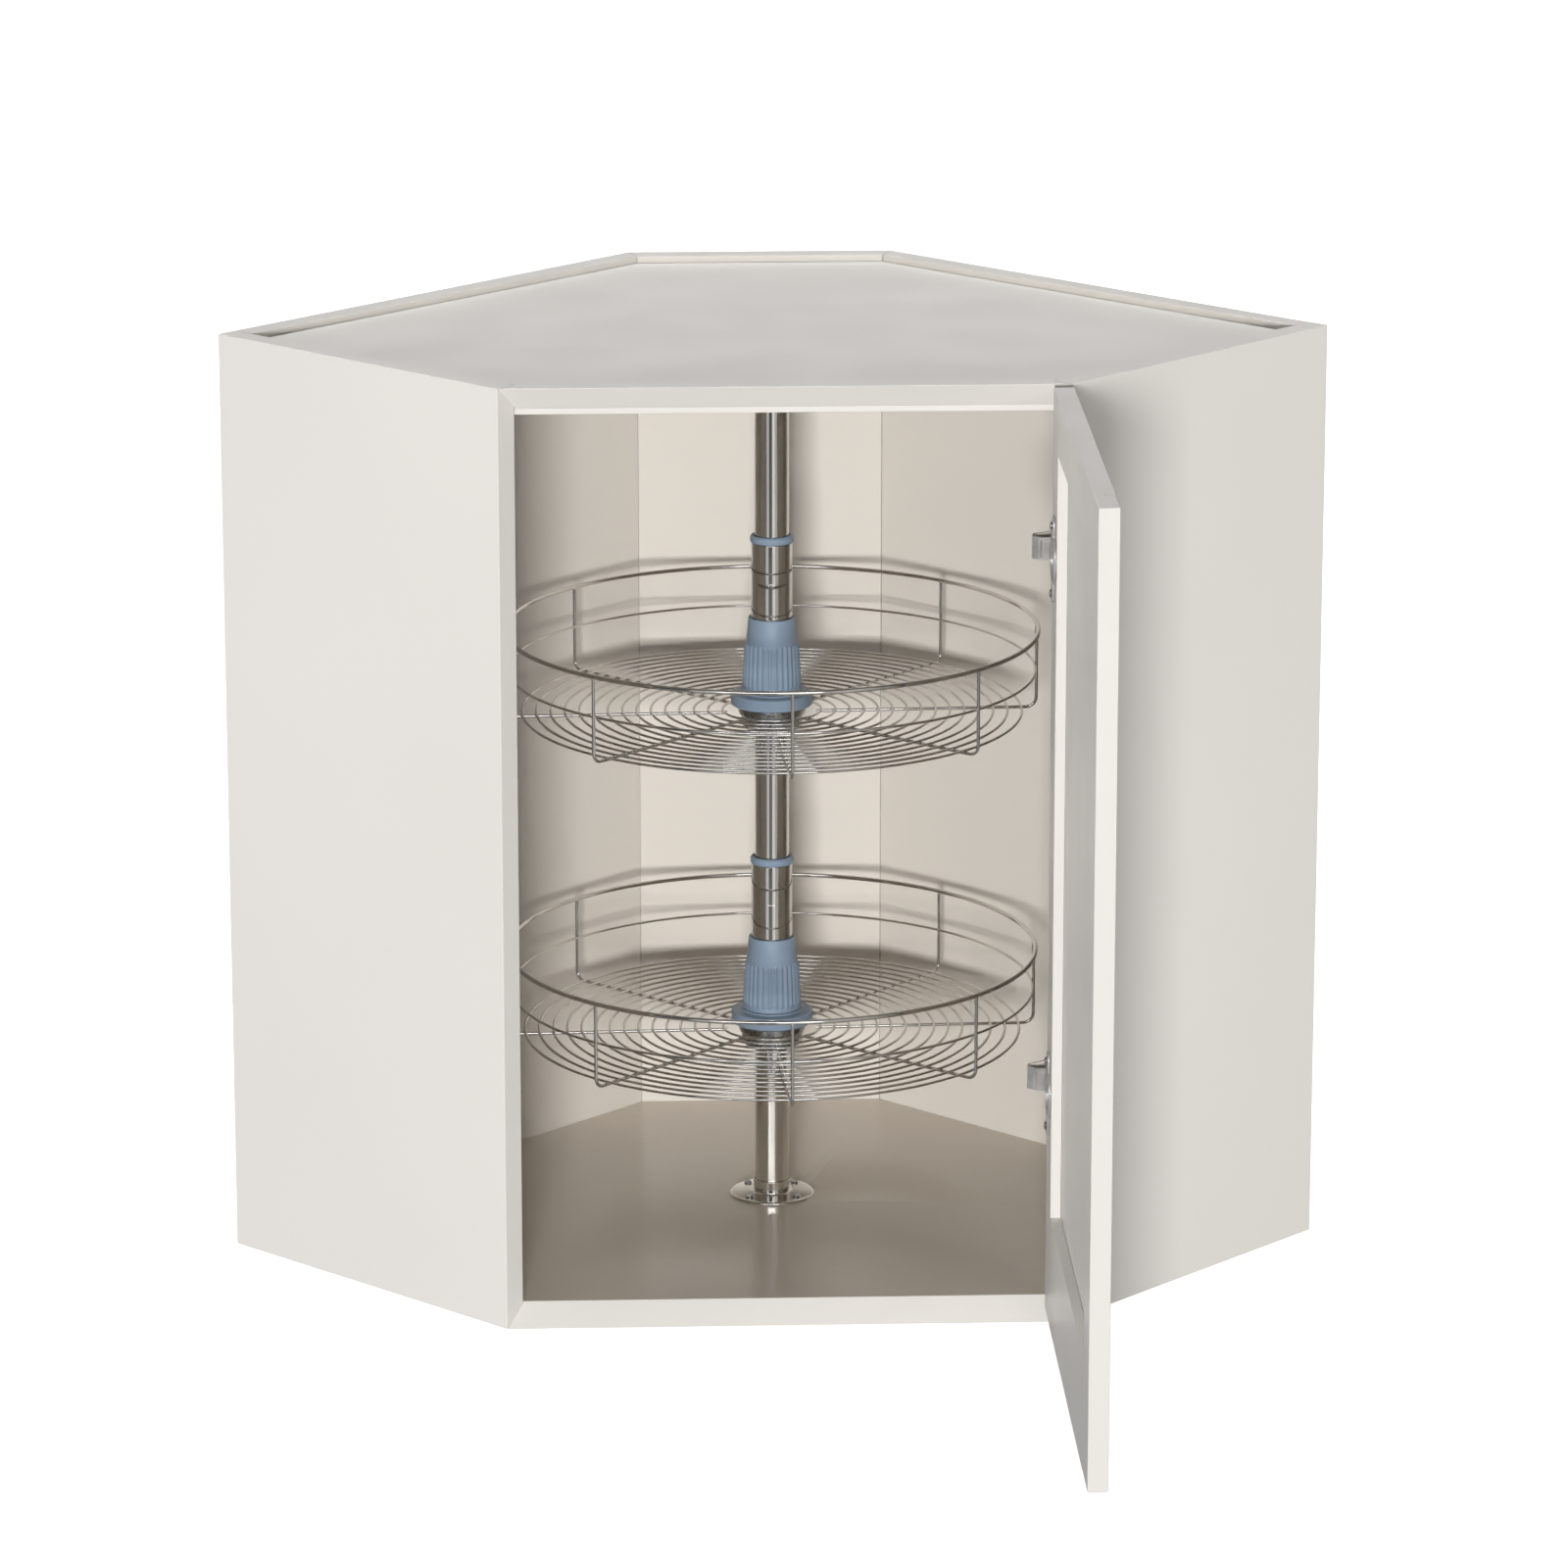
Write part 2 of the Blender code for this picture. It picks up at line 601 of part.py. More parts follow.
# ---------------------------------------------------------------- carousel post
def make_post():
    profile = tube_profile(POST_RADIUS, POST_RADIUS - POST_WALL,
                           FLOOR_Z + GAP, CEILING_Z - GAP)
    post = finish(turned("carousel_post", profile, PARTS), CHROME)
    spans = []
    for side, z in LOCK_SCREW_HEIGHTS.items():
        spans.append(((0, -POST_RADIUS - 0.002, z), (0, 0, z)))
        head = [(0, 0.0002), (LOCK_SCREW_RADIUS * 0.6, 0.0002), (LOCK_SCREW_RADIUS, -0.0004),
                (LOCK_SCREW_RADIUS, -0.0030), (0, -0.0030)]
        screw = turned(f"post_lock_screw_{side}", head, PARTS, 12)
        screw.matrix_basis = (Matrix.Translation((0, -POST_RADIUS, z))
                              @ Matrix.Rotation(math.pi / 2, 4, "X"))
        finish(screw, STEEL)
    holes = rods("post_screw_holes", LOCK_SCREW_RADIUS + GAP, spans, CUTTERS)
    join_to(post, holes, "DIFFERENCE")


def make_flange(name, seat_z, flip, board):
    """Round flange that holds one end of the post to a board with wood screws."""
    bore = POST_RADIUS + GAP
    profile = [(bore, GAP + SOCKET_HEIGHT), (SOCKET_RADIUS, GAP + SOCKET_HEIGHT),
               (SOCKET_RADIUS, GAP + FLANGE_THICK), (FLANGE_RADIUS, GAP + FLANGE_THICK),
               (FLANGE_RADIUS, GAP), (bore, GAP)]
    place = Matrix.Translation((0, 0, seat_z)) @ Matrix.Rotation(flip, 4, "X")
    flange = turned("post_" + name + "_flange", profile, PARTS)
    flange.matrix_basis = place
    finish(flange, CHROME)
    spans = []
    for i in range(FLANGE_SCREWS):
        angle = math.tau * (i + 0.5) / FLANGE_SCREWS
        spot = Vector((math.cos(angle), math.sin(angle), 0)) * FLANGE_SCREW_CIRCLE
        seat = spot + Vector((0, 0, 2 * GAP + FLANGE_THICK))
        spans.append((place @ (seat + Vector((0, 0, 0.001))),
                      place @ (spot - Vector((0, 0, SCREW_LENGTH)))))
        make_screw(f"{name}_flange_screw_{i + 1}", place @ Matrix.Translation(seat))
    holes = rods(name + "_flange_holes", SCREW_HOLE, spans, CUTTERS, None, 10)
    join_to(flange, holes, "DIFFERENCE")
    join_to(board, holes, "DIFFERENCE")


# ---------------------------------------------------------------- carousel trays
def spoke_angle(i):
    return SPOKE_TURN - math.pi / 2 + math.tau * i / SPOKES


def floor_grille(shape):
    """Flat lattice of ring wires and spokes, as one layer of faces."""
    half = FLOOR_WIRE / 2
    rings = [FLOOR_RING_MAX - FLOOR_RING_PITCH * i for i in range(FLOOR_RINGS)][::-1]
    bands = [FLOOR_PLATE] + [(radius - half, radius + half) for radius in rings]
    radii = [radius for band in bands for radius in band] + [RIM_RADIUS + half]
    rows = []
    for radius in radii:
        row = []
        lean = math.asin(half / radius)
        for i in range(SPOKES):
            left, right = spoke_angle(i) + lean, spoke_angle(i + 1) - lean
            row.append(spoke_angle(i) - lean)
            for k in range(RING_SIDES_PER_SPOKE - 1):
                row.append(left + (right - left) * k / (RING_SIDES_PER_SPOKE - 1))
        rows.append([shape.verts.new((radius * math.cos(a), radius * math.sin(a), 0))
                     for a in row])
    columns = len(rows[0])
    for band in range(len(rows) - 1):
        is_wire = band % 2 == 0 and band < len(rows) - 1
        for column in range(columns):
            on_spoke = column % RING_SIDES_PER_SPOKE == 0
            if on_spoke or is_wire:
                after = (column + 1) % columns
                shape.faces.new((rows[band][column], rows[band + 1][column],
                                 rows[band + 1][after], rows[band][after]))
    loose = [vert for vert in shape.verts if not vert.link_faces]
    bmesh.ops.delete(shape, geom=loose, context="VERTS")


def wire_section(height, wire):
    """Four-sided section of a ring wire, for turning round the axis."""
    return [(RIM_RADIUS, height + wire), (RIM_RADIUS + wire, height),
            (RIM_RADIUS, height - wire), (RIM_RADIUS - wire, height)]


def make_basket(side, axis):
    floor = mesh_object(side + "_basket_floor", floor_grille, PARTS, axis)
    sheet = floor.modifiers.new("Wire", "SOLIDIFY")
    sheet.thickness = FLOOR_WIRE
    sheet.offset = 0
    finish(floor, CHROME)

    rim = turned(side + "_basket_rim", wire_section(RIM_HEIGHT, RIM_WIRE), PARTS,
                 RIM_SIDES, axis)
    middle = turned(side + "_rim_middle_ring", wire_section(MID_HEIGHT, MID_WIRE),
                    CUTTERS, RIM_SIDES, axis)
    spans = []
    for i in range(SPOKES):
        x = RIM_RADIUS * math.cos(spoke_angle(i))
        y = RIM_RADIUS * math.sin(spoke_angle(i))
        spans.append(((x, y, FLOOR_WIRE / 2 + GAP), (x, y, RIM_HEIGHT)))
    uprights = rods(side + "_rim_uprights", MID_WIRE * 1.1, spans, CUTTERS, axis, 6)
    join_to(rim, uprights, "UNION")
    join_to(rim, middle, "UNION")
    finish(rim, CHROME)


def make_carrier(side, axis):
    """Sleeve, top bush and support collar that stay clamped to the post."""
    bore = POST_RADIUS + SLIDING_FIT
    sleeve = turned(side + "_sleeve", tube_profile(
        SLEEVE_RADIUS, SLEEVE_RADIUS - SLEEVE_WALL, HUB_FOOT, SLEEVE_TOP), PARTS, 24, axis)
    finish(sleeve, CHROME)
    top = SLEEVE_TOP + GAP
    bush = turned(side + "_top_bush", [
        (bore, top + RING_BUSH), (SLEEVE_RADIUS, top + RING_BUSH),
        (SLEEVE_RADIUS + 0.0010, top + RING_BUSH * 0.75), (SLEEVE_RADIUS + 0.0010, top),
        (bore, top)], PARTS, 24, axis)
    finish(bush, BLUE_PLASTIC)
    high = HUB_FOOT - GAP
    collar = turned(side + "_support_collar", [
        (bore, high), (0.024, high), (0.024, high - 0.006), (0.021, COLLAR_LOW),
        (bore, COLLAR_LOW)], PARTS, 24, axis)
    finish(collar, STEEL)


def make_nut(side, axis):
    """Tapered clamp nut, wider below where it is ribbed for the hand."""
    bore = SLEEVE_RADIUS + GAP
    nut = turned(side + "_clamp_nut", [
        (bore, NUT_TOP), (0.0183, NUT_TOP), (0.0203, NUT_RIB_TOP), (0.0212, NUT_RIB_TOP),
        (0.0230, NUT_LOW), (bore, NUT_LOW)], PARTS, 24, axis)
    finish(nut, BLUE_PLASTIC)


def make_hub(side, axis):
    """Flanged hub that the basket hangs on. It turns round the sleeve."""
    bore = SLEEVE_RADIUS + GAP
    hub = turned(side + "_hub_flange", [
        (bore, HUB_TOP), (0.0290, HUB_TOP), (0.0320, HUB_TOP - 0.003),
        (0.0320, HUB_SHOULDER), (0.0290, HUB_SEAT), (0.0262, HUB_SEAT),
        (0.0262, -HUB_SEAT), (0.0235, HUB_FOOT), (bore, HUB_FOOT)], PARTS, 24, axis)
    finish(hub, BLUE_PLASTIC)


# ---------------------------------------------------------------- assembly
clear_scene()
PARTS = new_collection("pantry_cabinet")
CUTTERS = new_collection("cutters")

make_side_boards()
make_level_boards()
door_axis = new_empty("door_hinge_axis", PIVOT, DOOR_OPEN)
stile = make_door(door_axis)
for hinge_side in HINGE_HEIGHTS:
    make_hinge(hinge_side, door_axis, bpy.data.objects["right_end_panel"], stile)
make_post()
make_flange("base", FLOOR_Z, 0, bpy.data.objects["bottom_panel"])
make_flange("top", CEILING_Z, math.pi, bpy.data.objects["top_panel"])
for tray, floor_z in TRAY_FLOORS.items():
    tray_axis = new_empty(tray + "_carousel_axis", (0, 0, floor_z))
    make_carrier(tray, tray_axis)
    make_nut(tray, tray_axis)
    make_hub(tray, tray_axis)
    make_basket(tray, tray_axis)
bpy.context.view_layer.update()
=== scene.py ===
"""Looks of the diagonal corner pantry cabinet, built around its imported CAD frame.

Everything is in metres in the frame's own axes: the origin on the carousel axis at the
underside of the cabinet, +X to the right of someone facing the door, +Z up.
"""

import json
import math

import bmesh
import bpy
from mathutils import Matrix, Vector


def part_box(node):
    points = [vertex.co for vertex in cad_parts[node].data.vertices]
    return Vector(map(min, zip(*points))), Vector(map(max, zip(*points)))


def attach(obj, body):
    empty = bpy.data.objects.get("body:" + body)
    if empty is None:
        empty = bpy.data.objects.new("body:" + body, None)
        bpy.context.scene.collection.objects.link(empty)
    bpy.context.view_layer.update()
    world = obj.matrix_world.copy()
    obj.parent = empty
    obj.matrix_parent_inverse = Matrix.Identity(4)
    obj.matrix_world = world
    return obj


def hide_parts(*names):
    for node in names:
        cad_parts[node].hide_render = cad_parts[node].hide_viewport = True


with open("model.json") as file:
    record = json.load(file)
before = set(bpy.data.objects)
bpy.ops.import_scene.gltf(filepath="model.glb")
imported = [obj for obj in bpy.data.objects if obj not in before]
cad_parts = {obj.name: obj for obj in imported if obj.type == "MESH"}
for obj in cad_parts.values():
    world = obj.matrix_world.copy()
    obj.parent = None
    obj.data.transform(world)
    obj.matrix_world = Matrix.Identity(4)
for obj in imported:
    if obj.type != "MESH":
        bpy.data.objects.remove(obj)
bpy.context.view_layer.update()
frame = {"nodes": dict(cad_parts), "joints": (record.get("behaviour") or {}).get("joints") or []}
NODES = frame["nodes"]
JOINTS = {joint["name"]: joint for joint in frame["joints"]}
SIDES = ("upper", "lower")

# ---------------------------------------------------------------- sizes
MERGE = 0.00001             # points nearer than this are one point
BOARD_ROUNDING = 0.0009
DOOR_ROUNDING = 0.0008
HINGE_ROUNDING = 0.0005
PRESSED_ROUNDING = 0.0003
EASED_ANGLE = math.radians(30)      # edges that turn more than this are rounded
BOARD_GAP = 0.0003
GLUE_REACH = 0.0004         # reaches across the gap between two glued boards
TONGUE_ROUNDING = 0.00015
DIAGONAL = math.sqrt(0.5)   # each part of a unit step along an end panel
ROOM_LOW, ROOM_HIGH = 0.018, 0.7065     # the room between the boards
ROOM_FRONT = -0.2494                    # behind the doorway's edges
ROOM_REAR, ROOM_REAR_HALF = 0.2453, 0.0987
HALF_OPENING = 0.1994
PANEL_CORNER_SET = 0.0049               # the end panels' front corners, before the room
PANEL_BACK = Vector((DIAGONAL, DIAGONAL, 0))    # along the right end panel
PANEL_OFF = Vector((-DIAGONAL, DIAGONAL, 0))    # off its inner face
INSIDE_PROBE = 0.004        # how far before a face the room is looked for

CUP_FLANGE = 0.0190         # radius of the hinge cup's lip
CUP_METAL = 0.0015

BUSH_BORE = 0.0141          # radii of the parts round the post
NUT_BORE = 0.0163
NUT_BODY = 0.0201
NUT_SKIRT = 0.0230
HUB_BOSS = 0.0262
HUB_COLLAR = 0.0240

SCREW_HEAD_HEIGHT = 0.0014

RIM_WIRE = 0.0018           # wire radii
ROD_WIRE = 0.0013
RING_WIRE = 0.00105
WELD_SINK = 0.0002          # how far welded wires melt into each other
ROD_BEND = 0.008
BEND_STEPS = 8
FLOOR_RINGS = 15
FLOOR_RING_PITCH = 0.0112
FLOOR_RING_MAX = 0.1955
MIDDLE_RING_RISE = 0.0336   # above the floor rings
RIM_INSET = 0.002           # from the CAD rim's outside to the rim wire's middle
FLOOR_BEAD = 0.00105        # weld bead radii
RIM_BEAD = 0.0017
SPOKES = 8
SPOKE_TURN = math.radians(2.1)
NUT_RIBS = 30

# ---------------------------------------------------------------- camera
CAMERA_PLACE = Vector((-0.2089, -5.4171, 1.8139))
CAMERA_PITCH = 0.2628       # below the horizon
CAMERA_YAW = 0.0403         # to the right of +Y
CAMERA_LENS = 164.2
CAMERA_SENSOR = 36.0

# ---------------------------------------------------------------- studio
LIGHT_TARGET = Vector((0, 0, 0.38))
WORLD_ENDS = ((0.0, 0.32), (1.0, 0.14))        # straight down and straight up
WORLD_MIDDLE = ((0.40, 0.15), (0.52, 0.04), (0.70, 0.08))
CARD_DISTANCE = 3.5
CARDS = (                   # bearing, rise, width, height and brightness of each
    ("left_card", -28, 0, 1.00, 5.0, 0.55),
    ("middle_card", 4, 0, 0.50, 5.0, 0.75),
    ("right_card", 20, 0, 1.50, 5.0, 0.85),
    ("high_card", 0, 26, 3.60, 0.45, 9.0))


def towards(bearing, rise):
    """Unit vector towards a bearing, in degrees right of the front, and a rise above level."""
    across, up = math.radians(bearing), math.radians(rise)
    return Vector((math.sin(across) * math.cos(up), -math.cos(across) * math.cos(up),
                   math.sin(up)))


def shaded(tone, factor, lift=0.0):
    """A tone made darker or paler."""
    return tuple(min(1.0, value * factor + lift) for value in tone)


def make_camera():
    data = bpy.data.cameras.new("camera")
    data.lens = CAMERA_LENS
    data.sensor_width = CAMERA_SENSOR
    data.clip_end = 60
    camera = bpy.data.objects.new("camera", data)
    camera.location = CAMERA_PLACE
    camera.rotation_euler = (math.pi / 2 - CAMERA_PITCH, 0, -CAMERA_YAW)
    bpy.context.scene.collection.objects.link(camera)
    bpy.context.scene.camera = camera


# ---------------------------------------------------------------- material helpers
class Shader:
    """A material's node tree, with short calls for the nodes that the looks share."""

    def __init__(self, name, roughness, metallic=0.0):
        self.material = bpy.data.materials.new(name)
        self.material.use_nodes = True
        self.tree = self.material.node_tree
        self.surface = self.tree.nodes["Principled BSDF"]
        self.surface.inputs["Roughness"].default_value = roughness
        self.surface.inputs["Metallic"].default_value = metallic
        self.place = self.tree.nodes.new("ShaderNodeTexCoord").outputs["Object"]

    def add(self, kind, **settings):
        node = self.tree.nodes.new(kind)
        for key, value in settings.items():
            setattr(node, key, value)
        return node

    def plug(self, source, target):
        self.tree.links.new(source, target)

    def stretched(self, scale):
        """Object coordinates scaled unevenly, for marks that run one way."""
        mapping = self.add("ShaderNodeMapping")
        mapping.inputs["Scale"].default_value = scale
        self.plug(self.place, mapping.inputs["Vector"])
        return mapping.outputs["Vector"]

    def noise(self, scale, detail=2.0, place=None, roughness=0.5):
        node = self.add("ShaderNodeTexNoise")
        node.inputs["Scale"].default_value = scale
        node.inputs["Detail"].default_value = detail
        node.inputs["Roughness"].default_value = roughness
        self.plug(place or self.place, node.inputs["Vector"])
        return node.outputs["Fac"]

    def spread(self, source, low, high, from_low=0.3, from_high=0.7):
        """Map a value linearly to a new range."""
        node = self.add("ShaderNodeMapRange")
        for key, value in (("From Min", from_low), ("From Max", from_high),
                           ("To Min", low), ("To Max", high)):
            node.inputs[key].default_value = value
        self.plug(source, node.inputs["Value"])
        return node.outputs["Result"]

    def blend(self, factor, first, second):
        """Mix two colours, or a socket with a colour."""
        node = self.add("ShaderNodeMix", data_type="RGBA")
        self.plug(factor, node.inputs["Factor"])
        for key, value in (("A", first), ("B", second)):
            socket = next(s for s in node.inputs if s.name == key and s.type == "RGBA")
            if isinstance(value, tuple):
                socket.default_value = (*value, 1)
            else:
                self.plug(value, socket)
        return next(s for s in node.outputs if s.type == "RGBA")

    def edge_mask(self, radius):
        """Bright along the edges of a solid, from how far a rounded normal leans."""
        rounded = self.add("ShaderNodeBevel", samples=4)
        rounded.inputs["Radius"].default_value = radius
        flat = self.add("ShaderNodeNewGeometry").outputs["True Normal"]
        dot = self.add("ShaderNodeVectorMath", operation="DOT_PRODUCT")
        self.plug(rounded.outputs["Normal"], dot.inputs[0])
        self.plug(flat, dot.inputs[1])
        return self.spread(dot.outputs["Value"], 1.0, 0.0, 0.80, 0.99)

    def bump(self, height, strength, distance):
        node = self.add("ShaderNodeBump")
        node.inputs["Strength"].default_value = strength
        node.inputs["Distance"].default_value = distance
        self.plug(height, node.inputs["Height"])
        self.plug(node.outputs["Normal"], self.surface.inputs["Normal"])

    def colour(self, socket):
        self.plug(socket, self.surface.inputs["Base Color"])

    def roughness(self, socket):
        self.plug(socket, self.surface.inputs["Roughness"])


def lacquer(name, tone, dullness=0.40):
    """Sprayed semi-matt lacquer: faint orange peel, soft unevenness, worn along edges."""
    shader = Shader(name, dullness)
    deep, pale, worn = shaded(tone, 0.982), shaded(tone, 1.012), shaded(tone, 0.93)
    clouds = shader.blend(shader.spread(shader.noise(2.6, 3), 0, 1), deep, pale)
    edges = shader.edge_mask(0.0012)
    patchy = shader.add("ShaderNodeMath", operation="MULTIPLY")
    shader.plug(edges, patchy.inputs[0])
    shader.plug(shader.spread(shader.noise(35, 3), 0.1, 0.75), patchy.inputs[1])
    shader.colour(shader.blend(patchy.outputs[0], clouds, worn))
    shader.roughness(shader.spread(shader.noise(14, 4), dullness - 0.06, dullness + 0.06))
    peel = shader.add("ShaderNodeMath", operation="ADD")
    shader.plug(shader.noise(520, 1), peel.inputs[0])
    shader.plug(shader.spread(shader.noise(46, 2), 0, 1.6), peel.inputs[1])
    shader.bump(peel.outputs[0], 0.10, 0.0004)
    shader.surface.inputs["Specular IOR Level"].default_value = 0.5
    shader.surface.inputs["Coat Weight"].default_value = 0.08
    shader.surface.inputs["Coat Roughness"].default_value = 0.22
    return shader.material


def chrome(name, tone, smudge, polish):
    """Chrome plate from polished to smudged, with faint marks along its length."""
    shader = Shader(name, polish, 1.0)
    dull = shaded(tone, 0.90)
    shader.colour(shader.blend(shader.spread(shader.noise(30, 4), 0, 1), tone, dull))
    shader.roughness(shader.spread(shader.noise(42, 5, roughness=0.7), polish, smudge,
                                   0.42, 0.78))
    marks = shader.noise(90, 2, shader.stretched((1, 1, 0.03)))
    shader.bump(marks, 0.035, 0.0003)
    return shader.material


def plated_steel(name, tone, rough, metallic=1.0):
    """Nickel or zinc plate over pressed steel: satin, finely brushed, with a painted highlight
    along its edges.
    """
    shader = Shader(name, rough, metallic)
    dull, edge_highlight = shaded(tone, 0.78), shaded(tone, 1.15)
    clouds = shader.blend(shader.spread(shader.noise(120, 4), 0, 1), tone, dull)
    # Painted highlight: the colour is lifted along the edges, where light would catch them.
    shader.colour(shader.blend(shader.edge_mask(0.0004), clouds, edge_highlight))
    shader.roughness(shader.spread(shader.noise(260, 3), rough - 0.06, rough + 0.14))
    shader.bump(shader.noise(900, 2, shader.stretched((1, 1, 0.08))), 0.04, 0.0001)
    return shader.material


def moulded_plastic(name, tone):
    """Satin moulded plastic: fine spark-eroded grain, paler where edges are rubbed."""
    shader = Shader(name, 0.42)
    deep, rubbed = shaded(tone, 0.90), shaded(tone, 1.22, 0.012)
    clouds = shader.blend(shader.spread(shader.noise(26, 3), 0, 1), tone, deep)
    shader.colour(shader.blend(shader.edge_mask(0.0007), clouds, rubbed))
    shader.roughness(shader.spread(shader.noise(160, 4), 0.34, 0.50))
    shader.bump(shader.noise(1900, 2), 0.10, 0.00025)
    shader.surface.inputs["Specular IOR Level"].default_value = 0.55
    return shader.material


CARCASS_LACQUER = lacquer("carcass_lacquer", (0.733, 0.712, 0.682))
# Painted shade: a darker, warmer copy of the carcass lacquer for the faces inside the cabinet.
SHADED_INSIDE_LACQUER = lacquer("shaded_inside_lacquer", (0.714, 0.682, 0.634))
# Painted shade: a still darker, browner copy of the lacquer for the floor inside the cabinet,
# glossier as well.
SHADED_FLOOR_LACQUER = lacquer("shaded_floor_lacquer", (0.630, 0.563, 0.482), 0.15)
DOOR_LACQUER = lacquer("door_lacquer", (0.705, 0.685, 0.657))
# Painted reflection: both chromes are tinted warm, after the warm lacquer they mirror.
POST_CHROME = chrome("post_chrome", (0.80, 0.775, 0.735), 0.08, 0.015)
BASKET_CHROME = chrome("basket_chrome", (0.72, 0.70, 0.67), 0.12, 0.04)
HUB_PLASTIC = moulded_plastic("hub_plastic", (0.235, 0.312, 0.410))
COLLAR_STEEL = plated_steel("collar_steel", (0.42, 0.42, 0.41), 0.26)
HINGE_STEEL = plated_steel("hinge_steel", (0.78, 0.77, 0.755), 0.40, 0.75)
SCREW_STEEL = plated_steel("screw_steel", (0.60, 0.60, 0.60), 0.22)


# ---------------------------------------------------------------- mesh helpers
def link(obj):
    bpy.context.scene.collection.objects.link(obj)
    return obj


def from_bmesh(name, shape, material, smooth_angle=35):
    """Make an object from a bmesh, smooth apart from its sharp edges."""
    mesh = bpy.data.meshes.new(name)
    bmesh.ops.recalc_face_normals(shape, faces=shape.faces)
    shape.to_mesh(mesh)
    shape.free()
    mesh.shade_smooth()
    mesh.set_sharp_from_angle(angle=math.radians(smooth_angle))
    mesh.materials.append(material)
    return link(bpy.data.objects.new(name, mesh))


def settle(obj, body, slot, *nodes):
    """Let a piece ride on its body and stand for its CAD nodes; the slot is not used."""
    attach(obj, body)
    if nodes:
        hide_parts(*nodes)


def ease(obj, rounding, segments=3, method="ANGLE"):
    """Round the edges of a piece with a modifier."""
    bevel = obj.modifiers.new("Eased edges", "BEVEL")
    bevel.width = rounding
    bevel.segments = segments
    bevel.limit_method = method
    bevel.angle_limit = EASED_ANGLE
    bevel.harden_normals = True


def paint_inside_shade(board, material):
    """Paint shade on the faces that look into the cabinet by giving them a darker copy of the
    lacquer.
    """
    board.data.materials.append(material)
    for face in board.data.polygons:
        probe = face.center + INSIDE_PROBE * face.normal
        if ROOM_LOW < probe.z < ROOM_HIGH and ROOM_FRONT < probe.y < ROOM_REAR:
            between_ends = HALF_OPENING + (probe.y - ROOM_FRONT)
            between_backs = ROOM_REAR - probe.y + ROOM_REAR_HALF
            if abs(probe.x) < min(between_ends, between_backs):
                face.material_index = 1


def softened(node, body, slot, material, rounding, segments=3, glue_lines=()):
    """A CAD node's own solid with its edges eased, as sanding and spraying leave a board.

    Its faces on a glue line, a plane across Y, are drawn up to the line and stay square.
    """
    shape = bmesh.new()
    shape.from_mesh(NODES[node].data)
    bmesh.ops.remove_doubles(shape, verts=shape.verts, dist=MERGE)
    bmesh.ops.dissolve_limit(shape, angle_limit=math.radians(1), verts=shape.verts,
                             edges=shape.edges)
    glued = set()
    for vert in shape.verts:
        for line in glue_lines:
            if abs(vert.co.y - line) < GLUE_REACH:
                vert.co.y = line
                glued.add(vert)
    eased = shape.edges.layers.float.new("bevel_weight_edge")
    for edge in shape.edges:
        square = edge.verts[0] in glued and edge.verts[1] in glued
        sharp = edge.calc_face_angle(0) > EASED_ANGLE
        edge[eased] = 1.0 if sharp and not square else 0.0
    board = from_bmesh(node + "_board", shape, material)
    if body == "cabinet":       # takes in the hinges' arms and plates, not only the boards
        paint_inside_shade(board, SHADED_FLOOR_LACQUER if node == "bottom_panel" else SHADED_INSIDE_LACQUER)
    ease(board, rounding, segments, "WEIGHT")
    settle(board, body, slot, node)


def filleted(profile, radius, steps=4):
    """Round every corner of a closed outline that is long enough to take it."""
    count = len(profile)
    points = []
    for i in range(count):
        before, corner, after = (Vector(profile[(i + k) % count]) for k in (-1, 0, 1))
        to_before, to_after = before - corner, after - corner
        reach = min(radius, to_before.length * 0.45, to_after.length * 0.45)
        if corner.x < MERGE or reach < MERGE:
            points.append(tuple(corner))
            continue
        start = corner + to_before.normalized() * reach
        end = corner + to_after.normalized() * reach
        for k in range(steps + 1):
            t = k / steps
            point = (1 - t) ** 2 * start + 2 * t * (1 - t) * corner + t ** 2 * end
            points.append(tuple(point))
    return points


def circled(shape, outline_at, sides):
    """Rows of points round Z, where outline_at(angle) gives (radius, height) points."""
    rows = []
    for i in range(sides):
        angle = math.tau * i / sides
        rows.append([shape.verts.new((r * math.cos(angle), r * math.sin(angle), z))
                     for r, z in outline_at(angle)])
    return rows


def revolve(name, outline_at, sides, material, centre=(0, 0, 0), smooth_angle=35):
    """Carry a closed outline round Z. It may change with the angle."""
    shape = bmesh.new()
    rows = circled(shape, outline_at, sides)
    count = len(rows[0])
    for i in range(sides):
        here, there = rows[i], rows[(i + 1) % sides]
        for k in range(count):
            after = (k + 1) % count
            shape.faces.new((here[k], there[k], there[after], here[after]))
    bmesh.ops.remove_doubles(shape, verts=shape.verts, dist=MERGE)
    bmesh.ops.dissolve_degenerate(shape, dist=MERGE, edges=shape.edges)
    bmesh.ops.translate(shape, verts=shape.verts, vec=centre)
    return from_bmesh(name, shape, material, smooth_angle)


def turned(name, profile, material, rounding, sides=96, centre=(0, 0, 0)):
    """Turn a profile round Z with all its corners rounded."""
    outline = filleted(profile, rounding)
    return revolve(name, lambda angle: outline, sides, material, centre)


def extruded(name, outline, low, high, material, rounding):
    """Extrude a flat outline along Z and ease its edges."""
    shape = bmesh.new()
    base = [shape.verts.new((x, y, low)) for x, y in outline]
    top = [shape.verts.new((x, y, high)) for x, y in outline]
    shape.faces.new(base[::-1])
    shape.faces.new(top)
    for i in range(len(outline)):
        after = (i + 1) % len(outline)
        shape.faces.new((base[i], base[after], top[after], top[i]))
    obj = from_bmesh(name, shape, material)
    ease(obj, rounding)
    return obj


